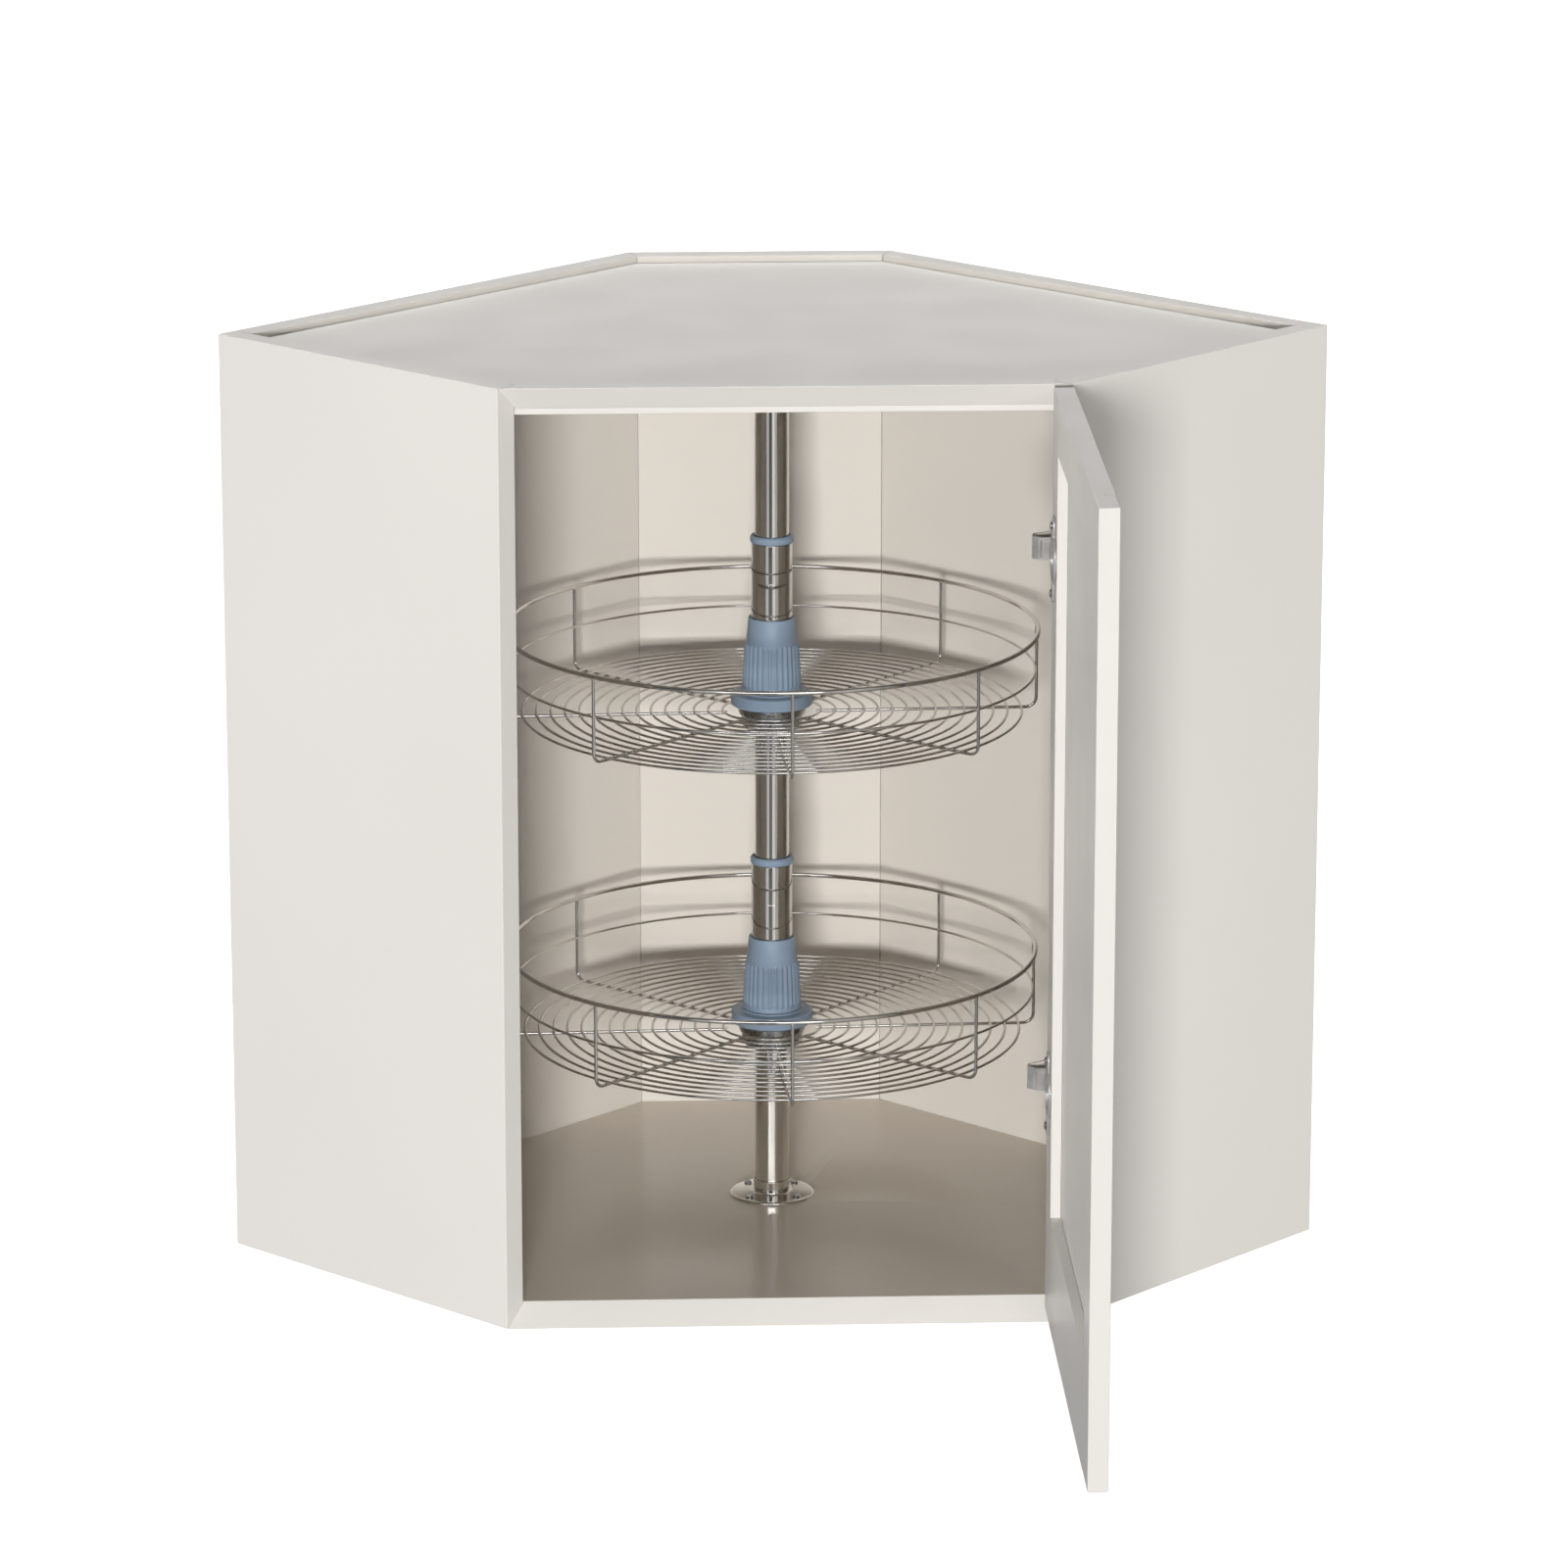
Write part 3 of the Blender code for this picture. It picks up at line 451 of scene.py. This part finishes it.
def tubes(name, paths, material, sides):
    """Round wires. Each path is (points, radius, cyclic); all become one mesh."""
    shape = bmesh.new()
    for points, radius, cyclic in paths:
        points = [Vector(point) for point in points]
        count = len(points)
        rings = []
        normal = None           # carried from point to point, so that the wire doesn't twist
        for i, point in enumerate(points):
            before = points[i - 1] if cyclic or i else point
            after = points[(i + 1) % count] if cyclic or i < count - 1 else point
            tangent = (after - before).normalized()
            if normal is None:
                helper = Vector((0, 0, 1)) if abs(tangent.z) < 0.9 else Vector((1, 0, 0))
                normal = tangent.cross(helper).normalized()
            normal = (normal - tangent * normal.dot(tangent)).normalized()
            side = tangent.cross(normal)
            rings.append([shape.verts.new(
                point + radius * (math.cos(math.tau * k / sides) * normal
                                  + math.sin(math.tau * k / sides) * side))
                for k in range(sides)])
        last = count if cyclic else count - 1
        for i in range(last):
            here, there = rings[i], rings[(i + 1) % count]
            for k in range(sides):
                after = (k + 1) % sides
                shape.faces.new((here[k], there[k], there[after], here[after]))
        if not cyclic:
            shape.faces.new(rings[0][::-1])
            shape.faces.new(rings[-1])
    return from_bmesh(name, shape, material, 60)


def circle(radius, height, spacing=0.005):
    """Points round a level circle, about as far apart as the spacing."""
    count = max(28, int(math.tau * radius / spacing))
    return [(radius * math.cos(math.tau * i / count),
             radius * math.sin(math.tau * i / count), height) for i in range(count)]


# ---------------------------------------------------------------- carcass and door
def make_carcass():
    for node in ("left_end_panel", "right_end_panel", "left_back_panel",
                 "right_back_panel", "rear_panel", "top_panel", "bottom_panel",
                 "top_front_rail"):
        softened(node, "cabinet", "carcass_lacquer", CARCASS_LACQUER, BOARD_ROUNDING)


def make_door():
    rail_low, rail_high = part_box("door_top_rail")
    _, free_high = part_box("door_free_stile")
    hinge_low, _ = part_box("door_hinge_stile")
    glue_lines = ((rail_low.y + free_high.y) / 2, (rail_high.y + hinge_low.y) / 2)
    for node in ("door_hinge_stile", "door_free_stile", "door_top_rail",
                 "door_bottom_rail", "door_panel"):
        softened(node, "door", "door_lacquer", DOOR_LACQUER, DOOR_ROUNDING,
                 glue_lines=glue_lines)
    make_tongues(glue_lines)


def make_tongues(glue_lines):
    """The rails' tongues, which fill the ends of the grooves in the stiles."""
    panel_low, panel_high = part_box("door_panel")
    near, far = panel_low.x - BOARD_GAP, panel_high.x + BOARD_GAP
    rail_low, rail_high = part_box("door_top_rail")
    top_span = (max(rail_low.z, panel_high.z + BOARD_GAP), rail_high.z)
    rail_low, rail_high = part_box("door_bottom_rail")
    bottom_span = (rail_low.z, min(rail_high.z, panel_low.z - BOARD_GAP))
    for node, span in (("door_top_rail", top_span), ("door_bottom_rail", bottom_span)):
        for i, (line, tip) in enumerate(zip(glue_lines, (panel_low.y, panel_high.y))):
            outline = [(near, line), (far, line), (far, tip), (near, tip)]
            tongue = extruded(f"{node}_tongue_{i + 1}", outline, *span, DOOR_LACQUER,
                              TONGUE_ROUNDING)
            settle(tongue, "door", "door_lacquer", node)


# ---------------------------------------------------------------- hinges
def panel_point(back, off, height):
    """A point beside the right end panel, back from its front edge and off its face."""
    corner = Vector((HALF_OPENING, ROOM_FRONT - PANEL_CORNER_SET))
    spot = corner + PANEL_BACK.xy * back + PANEL_OFF.xy * off
    return Vector((spot.x, spot.y, height))


def cup_edge(angle):
    """Radius of the cup's flange: a round lip with a rounded ear above and below."""
    lip, ear, reach = CUP_FLANGE, 0.0070, 0.0255
    across, up = abs(math.cos(angle)), abs(math.sin(angle))
    side = ear / max(across, MERGE)
    if side * up > reach:
        side = reach * up + math.sqrt(max(0.0, ear ** 2 - (reach * across) ** 2))
    return max(lip, side)


def make_hinge(side):
    low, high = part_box(side + "_hinge_cup")
    middle = (low.z + high.z) / 2
    _, arm_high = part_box(side + "_hinge_arm")
    half = arm_high.z - middle
    stile_low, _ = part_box("door_hinge_stile")
    seat_x = stile_low.x - BOARD_GAP
    make_cup(side, Vector((seat_x, low.y + CUP_FLANGE, middle)))
    make_pivot(side, middle, half)
    for node in ("_hinge_arm", "_hinge_plate"):
        softened(side + node, "cabinet", "hinge_steel", HINGE_STEEL, HINGE_ROUNDING, 2)
    make_arm_detail(side, middle, half)
    make_hinge_screws(side, seat_x - CUP_METAL - BOARD_GAP)


def make_cup(side, centre):
    """The cup, with a flange that lies on the door's inner face."""
    metal, depth, cup, wall = CUP_METAL, 0.0112, 0.0175, 0.0009

    def outline_at(angle):
        edge = cup_edge(angle)
        return [(edge, 0), (edge, metal - 0.0004), (edge - 0.0002, metal - 0.0001),
                (edge - 0.0005, metal), (cup - wall + 0.0006, metal),
                (cup - wall + 0.0001, metal - 0.0003), (cup - wall, metal - 0.0008),
                (cup - wall, 0.0018 - depth), (cup - wall - 0.0009, wall - depth),
                (0, wall - depth), (0, -depth), (cup - 0.0008, -depth), (cup, 0.0008 - depth),
                (cup, 0)]

    flange = revolve(side + "_cup_flange", outline_at, 144, HINGE_STEEL)
    turn = Matrix(((0, 0, -1, centre.x), (-1, 0, 0, centre.y), (0, 1, 0, centre.z),
                   (0, 0, 0, 1)))
    flange.data.transform(turn)
    settle(flange, "door", "hinge_steel", side + "_hinge_cup")


def make_pivot(side, middle, half):
    """The cup's link with its eye, and the rivet through them that holds the arm."""
    pin = JOINTS["door_hinge"]["pos_m"]
    link_half = 0.0027
    link_outline = [(-0.0079, -0.0115), (-0.0064, -0.0115), (-0.0064, 0.0008),
                    (0, 0.0008), (0, 0.0026), (-0.0079, 0.0026)]
    strap = extruded(side + "_pivot_link",
                     [(pin[0] + x, pin[1] + y) for x, y in link_outline],
                     middle - link_half, middle + link_half, HINGE_STEEL, 0.0004)
    settle(strap, "door", "hinge_steel", side + "_hinge_cup")
    bore, outer, rivet_radius = 0.0015, 0.0026, 0.0012
    eye = turned(side + "_pivot_eye", [(bore, link_half), (outer, link_half),
                                       (outer, -link_half), (bore, -link_half)],
                 HINGE_STEEL, PRESSED_ROUNDING, 32, (pin[0], pin[1], middle))
    settle(eye, "door", "hinge_steel", side + "_hinge_cup")
    rivet = turned(side + "_pivot_rivet", [(0, half), (rivet_radius, half),
                                           (rivet_radius, -half), (0, -half)],
                   SCREW_STEEL, 0.0004, 24, (pin[0], pin[1], middle))
    settle(rivet, "cabinet", "hinge_steel", side + "_hinge_pin")


def make_hinge_screws(side, cup_seat_x):
    plate_back, plate_off = 0.038, 0.0024
    for word, sign in (("top", 1), ("bottom", -1)):
        node = f"{side}_cup_screw_{word}"
        low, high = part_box(node)
        seat = Vector((cup_seat_x, (low.y + high.y) / 2, (low.z + high.z) / 2))
        make_screw(node, "door", seat, Vector((-1, 0, 0)), 0.5 + sign * 0.3)
        node = f"{side}_plate_screw_{word}"
        low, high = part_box(node)
        seat = panel_point(plate_back, plate_off, (low.z + high.z) / 2)
        make_screw(node, "cabinet", seat, PANEL_OFF, sign * 0.4)


def make_arm_detail(side, middle, half):
    """Pressed rim on the arm's cranked front, and the adjusting screws on its channel."""
    face_y = JOINTS["door_hinge"]["pos_m"][1] + 0.0105
    inner_x, outer_x = 0.1968, 0.1874
    rim, proud = 0.0014, 0.0007
    top = half - 0.0002
    outline = [(inner_x, top), (outer_x + 0.0012, top), (outer_x, top - 0.0012),
               (outer_x, 0.0012 - top), (outer_x + 0.0012, -top), (inner_x, -top),
               (inner_x, rim - top), (outer_x + rim + 0.0006, rim - top),
               (outer_x + rim, rim + 0.0006 - top), (outer_x + rim, top - rim - 0.0006),
               (outer_x + rim + 0.0006, top - rim), (inner_x, top - rim)]
    edge = extruded(side + "_arm_rim", outline, 0, proud, HINGE_STEEL, PRESSED_ROUNDING)
    lift = Matrix(((1, 0, 0, 0), (0, 0, -1, face_y), (0, 1, 0, middle), (0, 0, 0, 1)))
    edge.data.transform(lift)
    settle(edge, "cabinet", "hinge_steel", side + "_hinge_arm")
    boss_x, boss_top = outer_x + 0.0032, half - 0.0030
    boss = extruded(side + "_arm_boss", [(inner_x, boss_top), (boss_x, boss_top),
                                         (boss_x, -boss_top), (inner_x, -boss_top)],
                    0, proud * 0.6, HINGE_STEEL, PRESSED_ROUNDING)
    boss.data.transform(lift)
    settle(boss, "cabinet", "hinge_steel", side + "_hinge_arm")
    for i, back in enumerate((0.028, 0.047)):
        seat = panel_point(back, 0.0110, middle)
        make_screw(f"{side}_adjuster_{i + 1}", "cabinet", seat, PANEL_OFF, 0.3 + i,
                   in_cad=False)


# ---------------------------------------------------------------- carousel
def make_post():
    low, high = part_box("carousel_post")
    outer, inner = high.x, high.x - 0.0015
    post = turned("post_tube", [(inner, high.z), (outer, high.z), (outer, low.z),
                                (inner, low.z)], POST_CHROME, 0.0003)
    settle(post, "cabinet", "post_chrome", "carousel_post")
    for word, direction in (("base", 1), ("top", -1)):
        make_flange(word, direction)


def make_flange(word, direction):
    """Pressed flange with a rolled socket, the same at both ends of the post."""
    low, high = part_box(f"post_{word}_flange")
    seat = low.z if direction > 0 else high.z
    radius, height = high.x, high.z - low.z
    bore = 0.0138
    socket = 0.0149
    profile = [(bore, height), (socket - 0.0002, height), (socket, height - 0.0003),
               (socket, 0.0036), (0.0160, 0.0027), (radius - 0.0016, 0.0023),
               (radius, 0.0012), (radius, 0), (bore, 0)]
    outline = filleted([(r, z * direction) for r, z in profile], 0.0006)
    flange = revolve(f"{word}_flange_pressing", lambda angle: outline, 96, POST_CHROME,
                     (0, 0, seat))
    settle(flange, "cabinet", "post_chrome", f"post_{word}_flange")
    for i in range(1, 5):
        node = f"{word}_flange_screw_{i}"
        low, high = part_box(node)
        head_z = (high.z if direction > 0 else low.z) - direction * SCREW_HEAD_HEIGHT
        spot = Vector(((low.x + high.x) / 2, (low.y + high.y) / 2, head_z))
        make_screw(node, "cabinet", spot, Vector((0, 0, direction)), i * 0.7)


def make_screw(node, body, seat, outward, turn, in_cad=True):
    """Pan-head screw on a seat, with a cross recess in its head and a tapered shank."""
    head, height, shank, length = 0.0032, SCREW_HEAD_HEIGHT, 0.0013, 0.0110
    cap = [(0.0030, 0.0), (head, height * 0.25), (head * 0.97, height * 0.6),
           (head * 0.80, height * 0.88), (head * 0.5, height), (head * 0.16, height)]
    sides = 32
    shape = bmesh.new()
    rows = circled(shape, lambda angle: cap, sides)
    for i in range(sides):
        here, there = rows[i], rows[(i + 1) % sides]
        for k in range(len(cap) - 1):
            shape.faces.new((here[k], there[k], there[k + 1], here[k + 1]))
    shape.faces.new([row[-1] for row in rows])
    shape.faces.new([row[0] for row in rows][::-1])
    aim = outward.to_track_quat("Z", "Y").to_matrix().to_4x4()
    place = Matrix.Translation(seat) @ aim @ Matrix.Rotation(turn, 4, "Z")
    bmesh.ops.create_cone(shape, cap_ends=True, segments=16, radius1=shank * 0.25,
                          radius2=shank, depth=length,
                          matrix=Matrix.Translation((0, 0, -length / 2)))
    bmesh.ops.transform(shape, matrix=place, verts=shape.verts)
    screw = from_bmesh(node + "_head", shape, SCREW_STEEL, 40)
    cut_cross(screw, height, place)
    settle(screw, body, "screw_steel", *([node] if in_cad else []))


def cut_cross(screw, height, place):
    """Cut two crossing slots into the top of a screw's head."""
    shape = bmesh.new()
    slot = Matrix.Translation((0, 0, height)) @ Matrix.Diagonal((0.0036, 0.0007, 0.0008, 1))
    for quarter in (0, math.pi / 2):
        bmesh.ops.create_cube(shape, size=1, matrix=Matrix.Rotation(quarter, 4, "Z") @ slot)
    bmesh.ops.transform(shape, matrix=place, verts=shape.verts)
    cross = from_bmesh(screw.name + "_cross", shape, SCREW_STEEL)
    cut = screw.modifiers.new("Drive", "BOOLEAN")
    cut.object = cross
    cut.operation = "DIFFERENCE"
    cut.solver = "EXACT"
    cut.use_self = True
    bpy.context.view_layer.update()
    evaluated = screw.evaluated_get(bpy.context.evaluated_depsgraph_get())
    mesh = bpy.data.meshes.new_from_object(evaluated)
    screw.modifiers.clear()
    screw.data = mesh
    bpy.data.objects.remove(cross, do_unlink=True)


def make_lock_screws():
    """Small screws with a round socket, set nearly flush in the post's front."""
    radius = 0.0023
    profile = [(0, -0.0026), (radius, -0.0026), (radius, -0.0004), (radius * 0.75, 0.0003),
               (radius * 0.45, 0.0005), (radius * 0.40, -0.0004), (0, -0.0009)]
    outline = filleted(profile, 0.0002, 3)
    for side in SIDES:
        node = f"post_lock_screw_{side}"
        low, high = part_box(node)
        seat = Vector((0, low.y + 0.0007, (low.z + high.z) / 2))
        screw = revolve(node + "_head", lambda angle: outline, 32, SCREW_STEEL)
        screw.data.transform(Matrix.Translation(seat) @ Matrix.Rotation(math.pi / 2, 4, "X"))
        settle(screw, "cabinet", "screw_steel", node)


def make_tray(side):
    make_sleeve(side)
    make_nut(side)
    make_hub(side)
    make_basket(side)


def make_sleeve(side):
    """The sleeve with a scored line, its bush on top and its collar below."""
    carrier = side + "_carrier"
    low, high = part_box(side + "_sleeve")
    outer, inner = high.x, high.x - 0.0019
    groove = low.z + (high.z - low.z) * 0.78
    profile = [(inner, high.z), (outer, high.z), (outer, groove + 0.0002),
               (outer - 0.0001, groove), (outer, groove - 0.0002), (outer, low.z),
               (inner, low.z)]
    sleeve = turned(side + "_sleeve_tube", profile, POST_CHROME, 0.0003)
    settle(sleeve, carrier, "post_chrome", side + "_sleeve")

    low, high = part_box(side + "_top_bush")
    outer = high.x
    profile = [(BUSH_BORE, high.z), (outer - 0.0014, high.z), (outer, high.z - 0.0016),
               (outer, low.z + 0.0010), (outer - 0.0006, low.z), (BUSH_BORE, low.z)]
    bush = turned(side + "_bush_ring", profile, HUB_PLASTIC, 0.0007)
    settle(bush, carrier, "hub_plastic", side + "_top_bush")

    low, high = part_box(side + "_support_collar")
    profile = [(BUSH_BORE, high.z), (HUB_COLLAR, high.z), (HUB_COLLAR, high.z - 0.0058),
               (0.0212, low.z), (BUSH_BORE, low.z)]
    collar = turned(side + "_collar_ring", profile, COLLAR_STEEL, 0.0006)
    settle(collar, carrier, "collar_steel", side + "_support_collar")


def make_nut(side):
    """Tapered nut with hand ribs that stand out of its lower skirt."""
    low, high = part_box(side + "_clamp_nut")
    foot, rib_top = low.z, high.z - 0.0205
    rib_height, taper = 0.0012, 0.0017
    steps, fade_steps = 30, 14

    def outline_at(angle):
        crest = (0.5 + 0.5 * math.cos(NUT_RIBS * angle)) ** 1.5
        points = [(NUT_BORE, high.z - 0.0002), (0.0178, high.z), (0.0183, high.z - 0.0006),
                  (NUT_BODY, rib_top + 0.0006)]
        for k in range(steps + 1):
            t = k / steps
            z = rib_top - t * (rib_top - foot - 0.0030)
            body = NUT_BODY + t * taper
            fade = min(1.0, t * fade_steps, (1 - t) * fade_steps)
            points.append((body + rib_height * crest * math.sqrt(fade), z))
        points += [(NUT_SKIRT, foot + 0.0016), (NUT_SKIRT, foot + 0.0003),
                   (NUT_SKIRT - 0.0003, foot), (NUT_BORE, foot)]
        return points

    nut = revolve(side + "_ribbed_nut", outline_at, NUT_RIBS * 8, HUB_PLASTIC,
                  smooth_angle=50)
    settle(nut, side + "_nut", "hub_plastic", side + "_clamp_nut")


def make_hub(side):
    """The blue flange under the basket's middle, and the steel boss under it."""
    low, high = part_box(side + "_hub_flange")
    outer = high.x
    shoulder = low.z + 0.0106
    profile = [(NUT_BORE, high.z), (HUB_COLLAR - 0.0004, high.z),
               (HUB_COLLAR, high.z - 0.0012), (outer - 0.0012, high.z - 0.0014),
               (outer, high.z - 0.0024), (outer, shoulder),
               (outer - 0.0010, shoulder - 0.0010), (HUB_BOSS, shoulder - 0.0010),
               (HUB_BOSS, shoulder - 0.0020), (NUT_BORE, shoulder - 0.0020)]
    hub = turned(side + "_hub_turning", profile, HUB_PLASTIC, 0.0009, 128)
    settle(hub, side + "_tray", "hub_plastic", side + "_hub_flange")
    boss_top = shoulder - 0.0022
    profile = [(NUT_BORE, boss_top), (HUB_BOSS - 0.0002, boss_top),
               (HUB_BOSS, low.z + 0.0070), (HUB_BOSS, low.z + 0.0034),
               (HUB_COLLAR, low.z), (NUT_BORE, low.z)]
    boss = turned(side + "_hub_boss", profile, COLLAR_STEEL, 0.0008)
    settle(boss, side + "_tray", "collar_steel", side + "_hub_flange")


def spoke_angle(i):
    return SPOKE_TURN - math.pi / 2 + math.tau * i / SPOKES


def rod_path(angle, rim_radius, rim_z, spoke_z):
    """From under the rim, down, round the bend, and in under the floor rings."""
    path = [(rim_radius, rim_z - RIM_WIRE + WELD_SINK),
            (rim_radius, spoke_z + ROD_BEND * 2)]
    centre_r, centre_z = rim_radius - ROD_BEND, spoke_z + ROD_BEND
    for k in range(BEND_STEPS + 1):
        turn = math.pi / 2 * k / BEND_STEPS
        path.append((centre_r + ROD_BEND * math.cos(turn),
                     centre_z - ROD_BEND * math.sin(turn)))
    inner = FLOOR_RING_MAX - FLOOR_RING_PITCH * (FLOOR_RINGS - 1) - 0.004
    path += [(rim_radius * 0.6, spoke_z), (inner, spoke_z)]
    return [(r * math.cos(angle), r * math.sin(angle), z) for r, z in path]


def around(radius, height, angles):
    """Points at the same radius and height at several angles."""
    return [(radius * math.cos(angle), radius * math.sin(angle), height) for angle in angles]


def weld_beads(name, spots, radius):
    """Small flattened beads where wires are welded to each other."""
    shape = bmesh.new()
    for spot in spots:
        place = Matrix.Translation(spot) @ Matrix.Diagonal((1, 1, 0.8, 1))
        bmesh.ops.create_icosphere(shape, subdivisions=1, radius=radius, matrix=place)
    return from_bmesh(name, shape, BASKET_CHROME, 80)


def make_basket(side):
    """A wire basket: floor rings on bent rods, a middle ring and a rim ring."""
    tray = side + "_tray"
    low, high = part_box(side + "_basket_floor")
    floor_z = (low.z + high.z) / 2
    _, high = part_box(side + "_basket_rim")
    rim_z, rim_radius = high.z - RIM_INSET, high.x - RIM_INSET
    spoke_z = floor_z - RING_WIRE - ROD_WIRE + WELD_SINK
    middle_z = floor_z + MIDDLE_RING_RISE
    middle_radius = rim_radius - ROD_WIRE - RING_WIRE + WELD_SINK
    radii = [FLOOR_RING_MAX - FLOOR_RING_PITCH * i for i in range(FLOOR_RINGS)]
    angles = [spoke_angle(i) for i in range(SPOKES)]

    floor = tubes(side + "_floor_rings",
                  [(circle(radius, floor_z), RING_WIRE, True) for radius in radii],
                  BASKET_CHROME, 8)
    settle(floor, tray, "basket_chrome", side + "_basket_floor")
    rim = tubes(side + "_rim_ring", [(circle(rim_radius, rim_z), RIM_WIRE, True)],
                BASKET_CHROME, 16)
    settle(rim, tray, "basket_chrome", side + "_basket_rim")
    middle = tubes(side + "_middle_ring",
                   [(circle(middle_radius, middle_z), RING_WIRE, True)], BASKET_CHROME, 10)
    settle(middle, tray, "basket_chrome", side + "_basket_rim")
    rods = tubes(side + "_bent_rods",
                 [(rod_path(angle, rim_radius, rim_z, spoke_z), ROD_WIRE, False)
                  for angle in angles], BASKET_CHROME, 12)
    settle(rods, tray, "basket_chrome", side + "_basket_rim")

    weld_z = floor_z - RING_WIRE + WELD_SINK / 2
    spots = [spot for radius in radii for spot in around(radius, weld_z, angles)]
    spots += around(middle_radius + RING_WIRE, middle_z, angles)
    beads = weld_beads(side + "_weld_beads", spots, FLOOR_BEAD)
    settle(beads, tray, "basket_chrome", side + "_basket_rim")
    beads = weld_beads(side + "_rim_beads", around(rim_radius, rim_z - RIM_WIRE, angles),
                       RIM_BEAD)
    settle(beads, tray, "basket_chrome", side + "_basket_rim")


# ---------------------------------------------------------------- stage
def make_floor():
    """A pale floor that glows just enough to match the ground of the photograph."""
    bpy.ops.mesh.primitive_plane_add(size=60)
    floor = bpy.context.object
    floor.name = "studio_floor"
    shader = Shader("studio_floor", 0.9)
    shader.colour(shader.blend(shader.spread(shader.noise(1.5, 3), 0, 1),
                               (0.60, 0.60, 0.60), (0.62, 0.62, 0.62)))
    shader.surface.inputs["Emission Color"].default_value = (1, 1, 1, 1)
    shader.surface.inputs["Emission Strength"].default_value = 0.90
    floor.data.materials.append(shader.material)
    floor.visible_diffuse = False
    floor.visible_glossy = False


def area_light(name, bearing, rise, distance, size, power, colour):
    """A soft light aimed at the cabinet's middle."""
    away = towards(bearing, rise)
    data = bpy.data.lights.new(name, "AREA")
    data.shape = "RECTANGLE"
    data.size, data.size_y = size
    data.energy = power
    data.color = colour
    light = link(bpy.data.objects.new(name, data))
    light.location = LIGHT_TARGET + away * distance
    light.rotation_euler = (-away).to_track_quat("-Z", "Y").to_euler()
    light.visible_glossy = False


def make_world():
    """Dim studio surroundings, paler overhead and underfoot than at eye level."""
    world = bpy.data.worlds.new("studio")
    bpy.context.scene.world = world
    world.use_nodes = True
    tree = world.node_tree
    place = tree.nodes.new("ShaderNodeTexCoord")
    split = tree.nodes.new("ShaderNodeSeparateXYZ")
    tree.links.new(place.outputs["Generated"], split.inputs[0])
    height = tree.nodes.new("ShaderNodeMapRange")
    height.inputs["From Min"].default_value = -1.0
    tree.links.new(split.outputs["Z"], height.inputs["Value"])
    ramp = tree.nodes.new("ShaderNodeValToRGB")
    tree.links.new(height.outputs["Result"], ramp.inputs[0])
    for element, (position, value) in zip(ramp.color_ramp.elements, WORLD_ENDS):
        element.position = position
        element.color = (value, value, value, 1)
    for position, value in WORLD_MIDDLE:
        ramp.color_ramp.elements.new(position).color = (value, value, value, 1)
    background = tree.nodes["Background"]
    tree.links.new(ramp.outputs[0], background.inputs["Color"])
    background.inputs["Strength"].default_value = 1.0


def make_card(name, bearing, rise, width, height, brightness):
    """Pale card that only reflections see."""
    away = towards(bearing, rise)
    side = towards(bearing + 90, 0)
    middle = away * CARD_DISTANCE
    shape = bmesh.new()
    shape.faces.new([shape.verts.new(middle + u * side * width / 2
                                     + v * away.cross(side) * height / 2)
                     for u, v in ((-1, -1), (1, -1), (1, 1), (-1, 1))])
    shader = Shader(name, 1.0)
    shader.colour(shader.spread(shader.noise(2.0, 2), 0.0, 0.01))
    shader.plug(shader.spread(shader.noise(0.8, 2), brightness * 0.85, brightness * 1.1),
                shader.surface.inputs["Emission Strength"])
    shader.surface.inputs["Emission Color"].default_value = (0.98, 0.99, 1, 1)
    card = from_bmesh(name, shape, shader.material)
    card.visible_camera = False
    card.visible_diffuse = False
    card.visible_shadow = False


def make_lights():
    """Direct lights shade the cabinet; only the cards and the world are mirrored in it."""
    area_light("key", -4.8, 5.5, 7.0, (0.83, 0.83), 438, (1, 0.985, 0.965))
    area_light("left_fill", -92, 0, 6.0, (2.4, 0.7), 153, (0.985, 0.99, 1))
    area_light("right_fill", 80, 0, 6.0, (2.4, 0.7), 124, (1, 0.985, 0.965))
    area_light("top_back", 180, 62, 5.0, (2.5, 2.5), 230, (1, 1, 1))
    for card in CARDS:
        make_card(*card)


bpy.context.scene.view_settings.view_transform = "Standard"
make_camera()
make_world()
make_floor()
make_lights()
make_carcass()
make_door()
for level in SIDES:
    make_hinge(level)
make_post()
make_lock_screws()
for level in SIDES:
    make_tray(level)
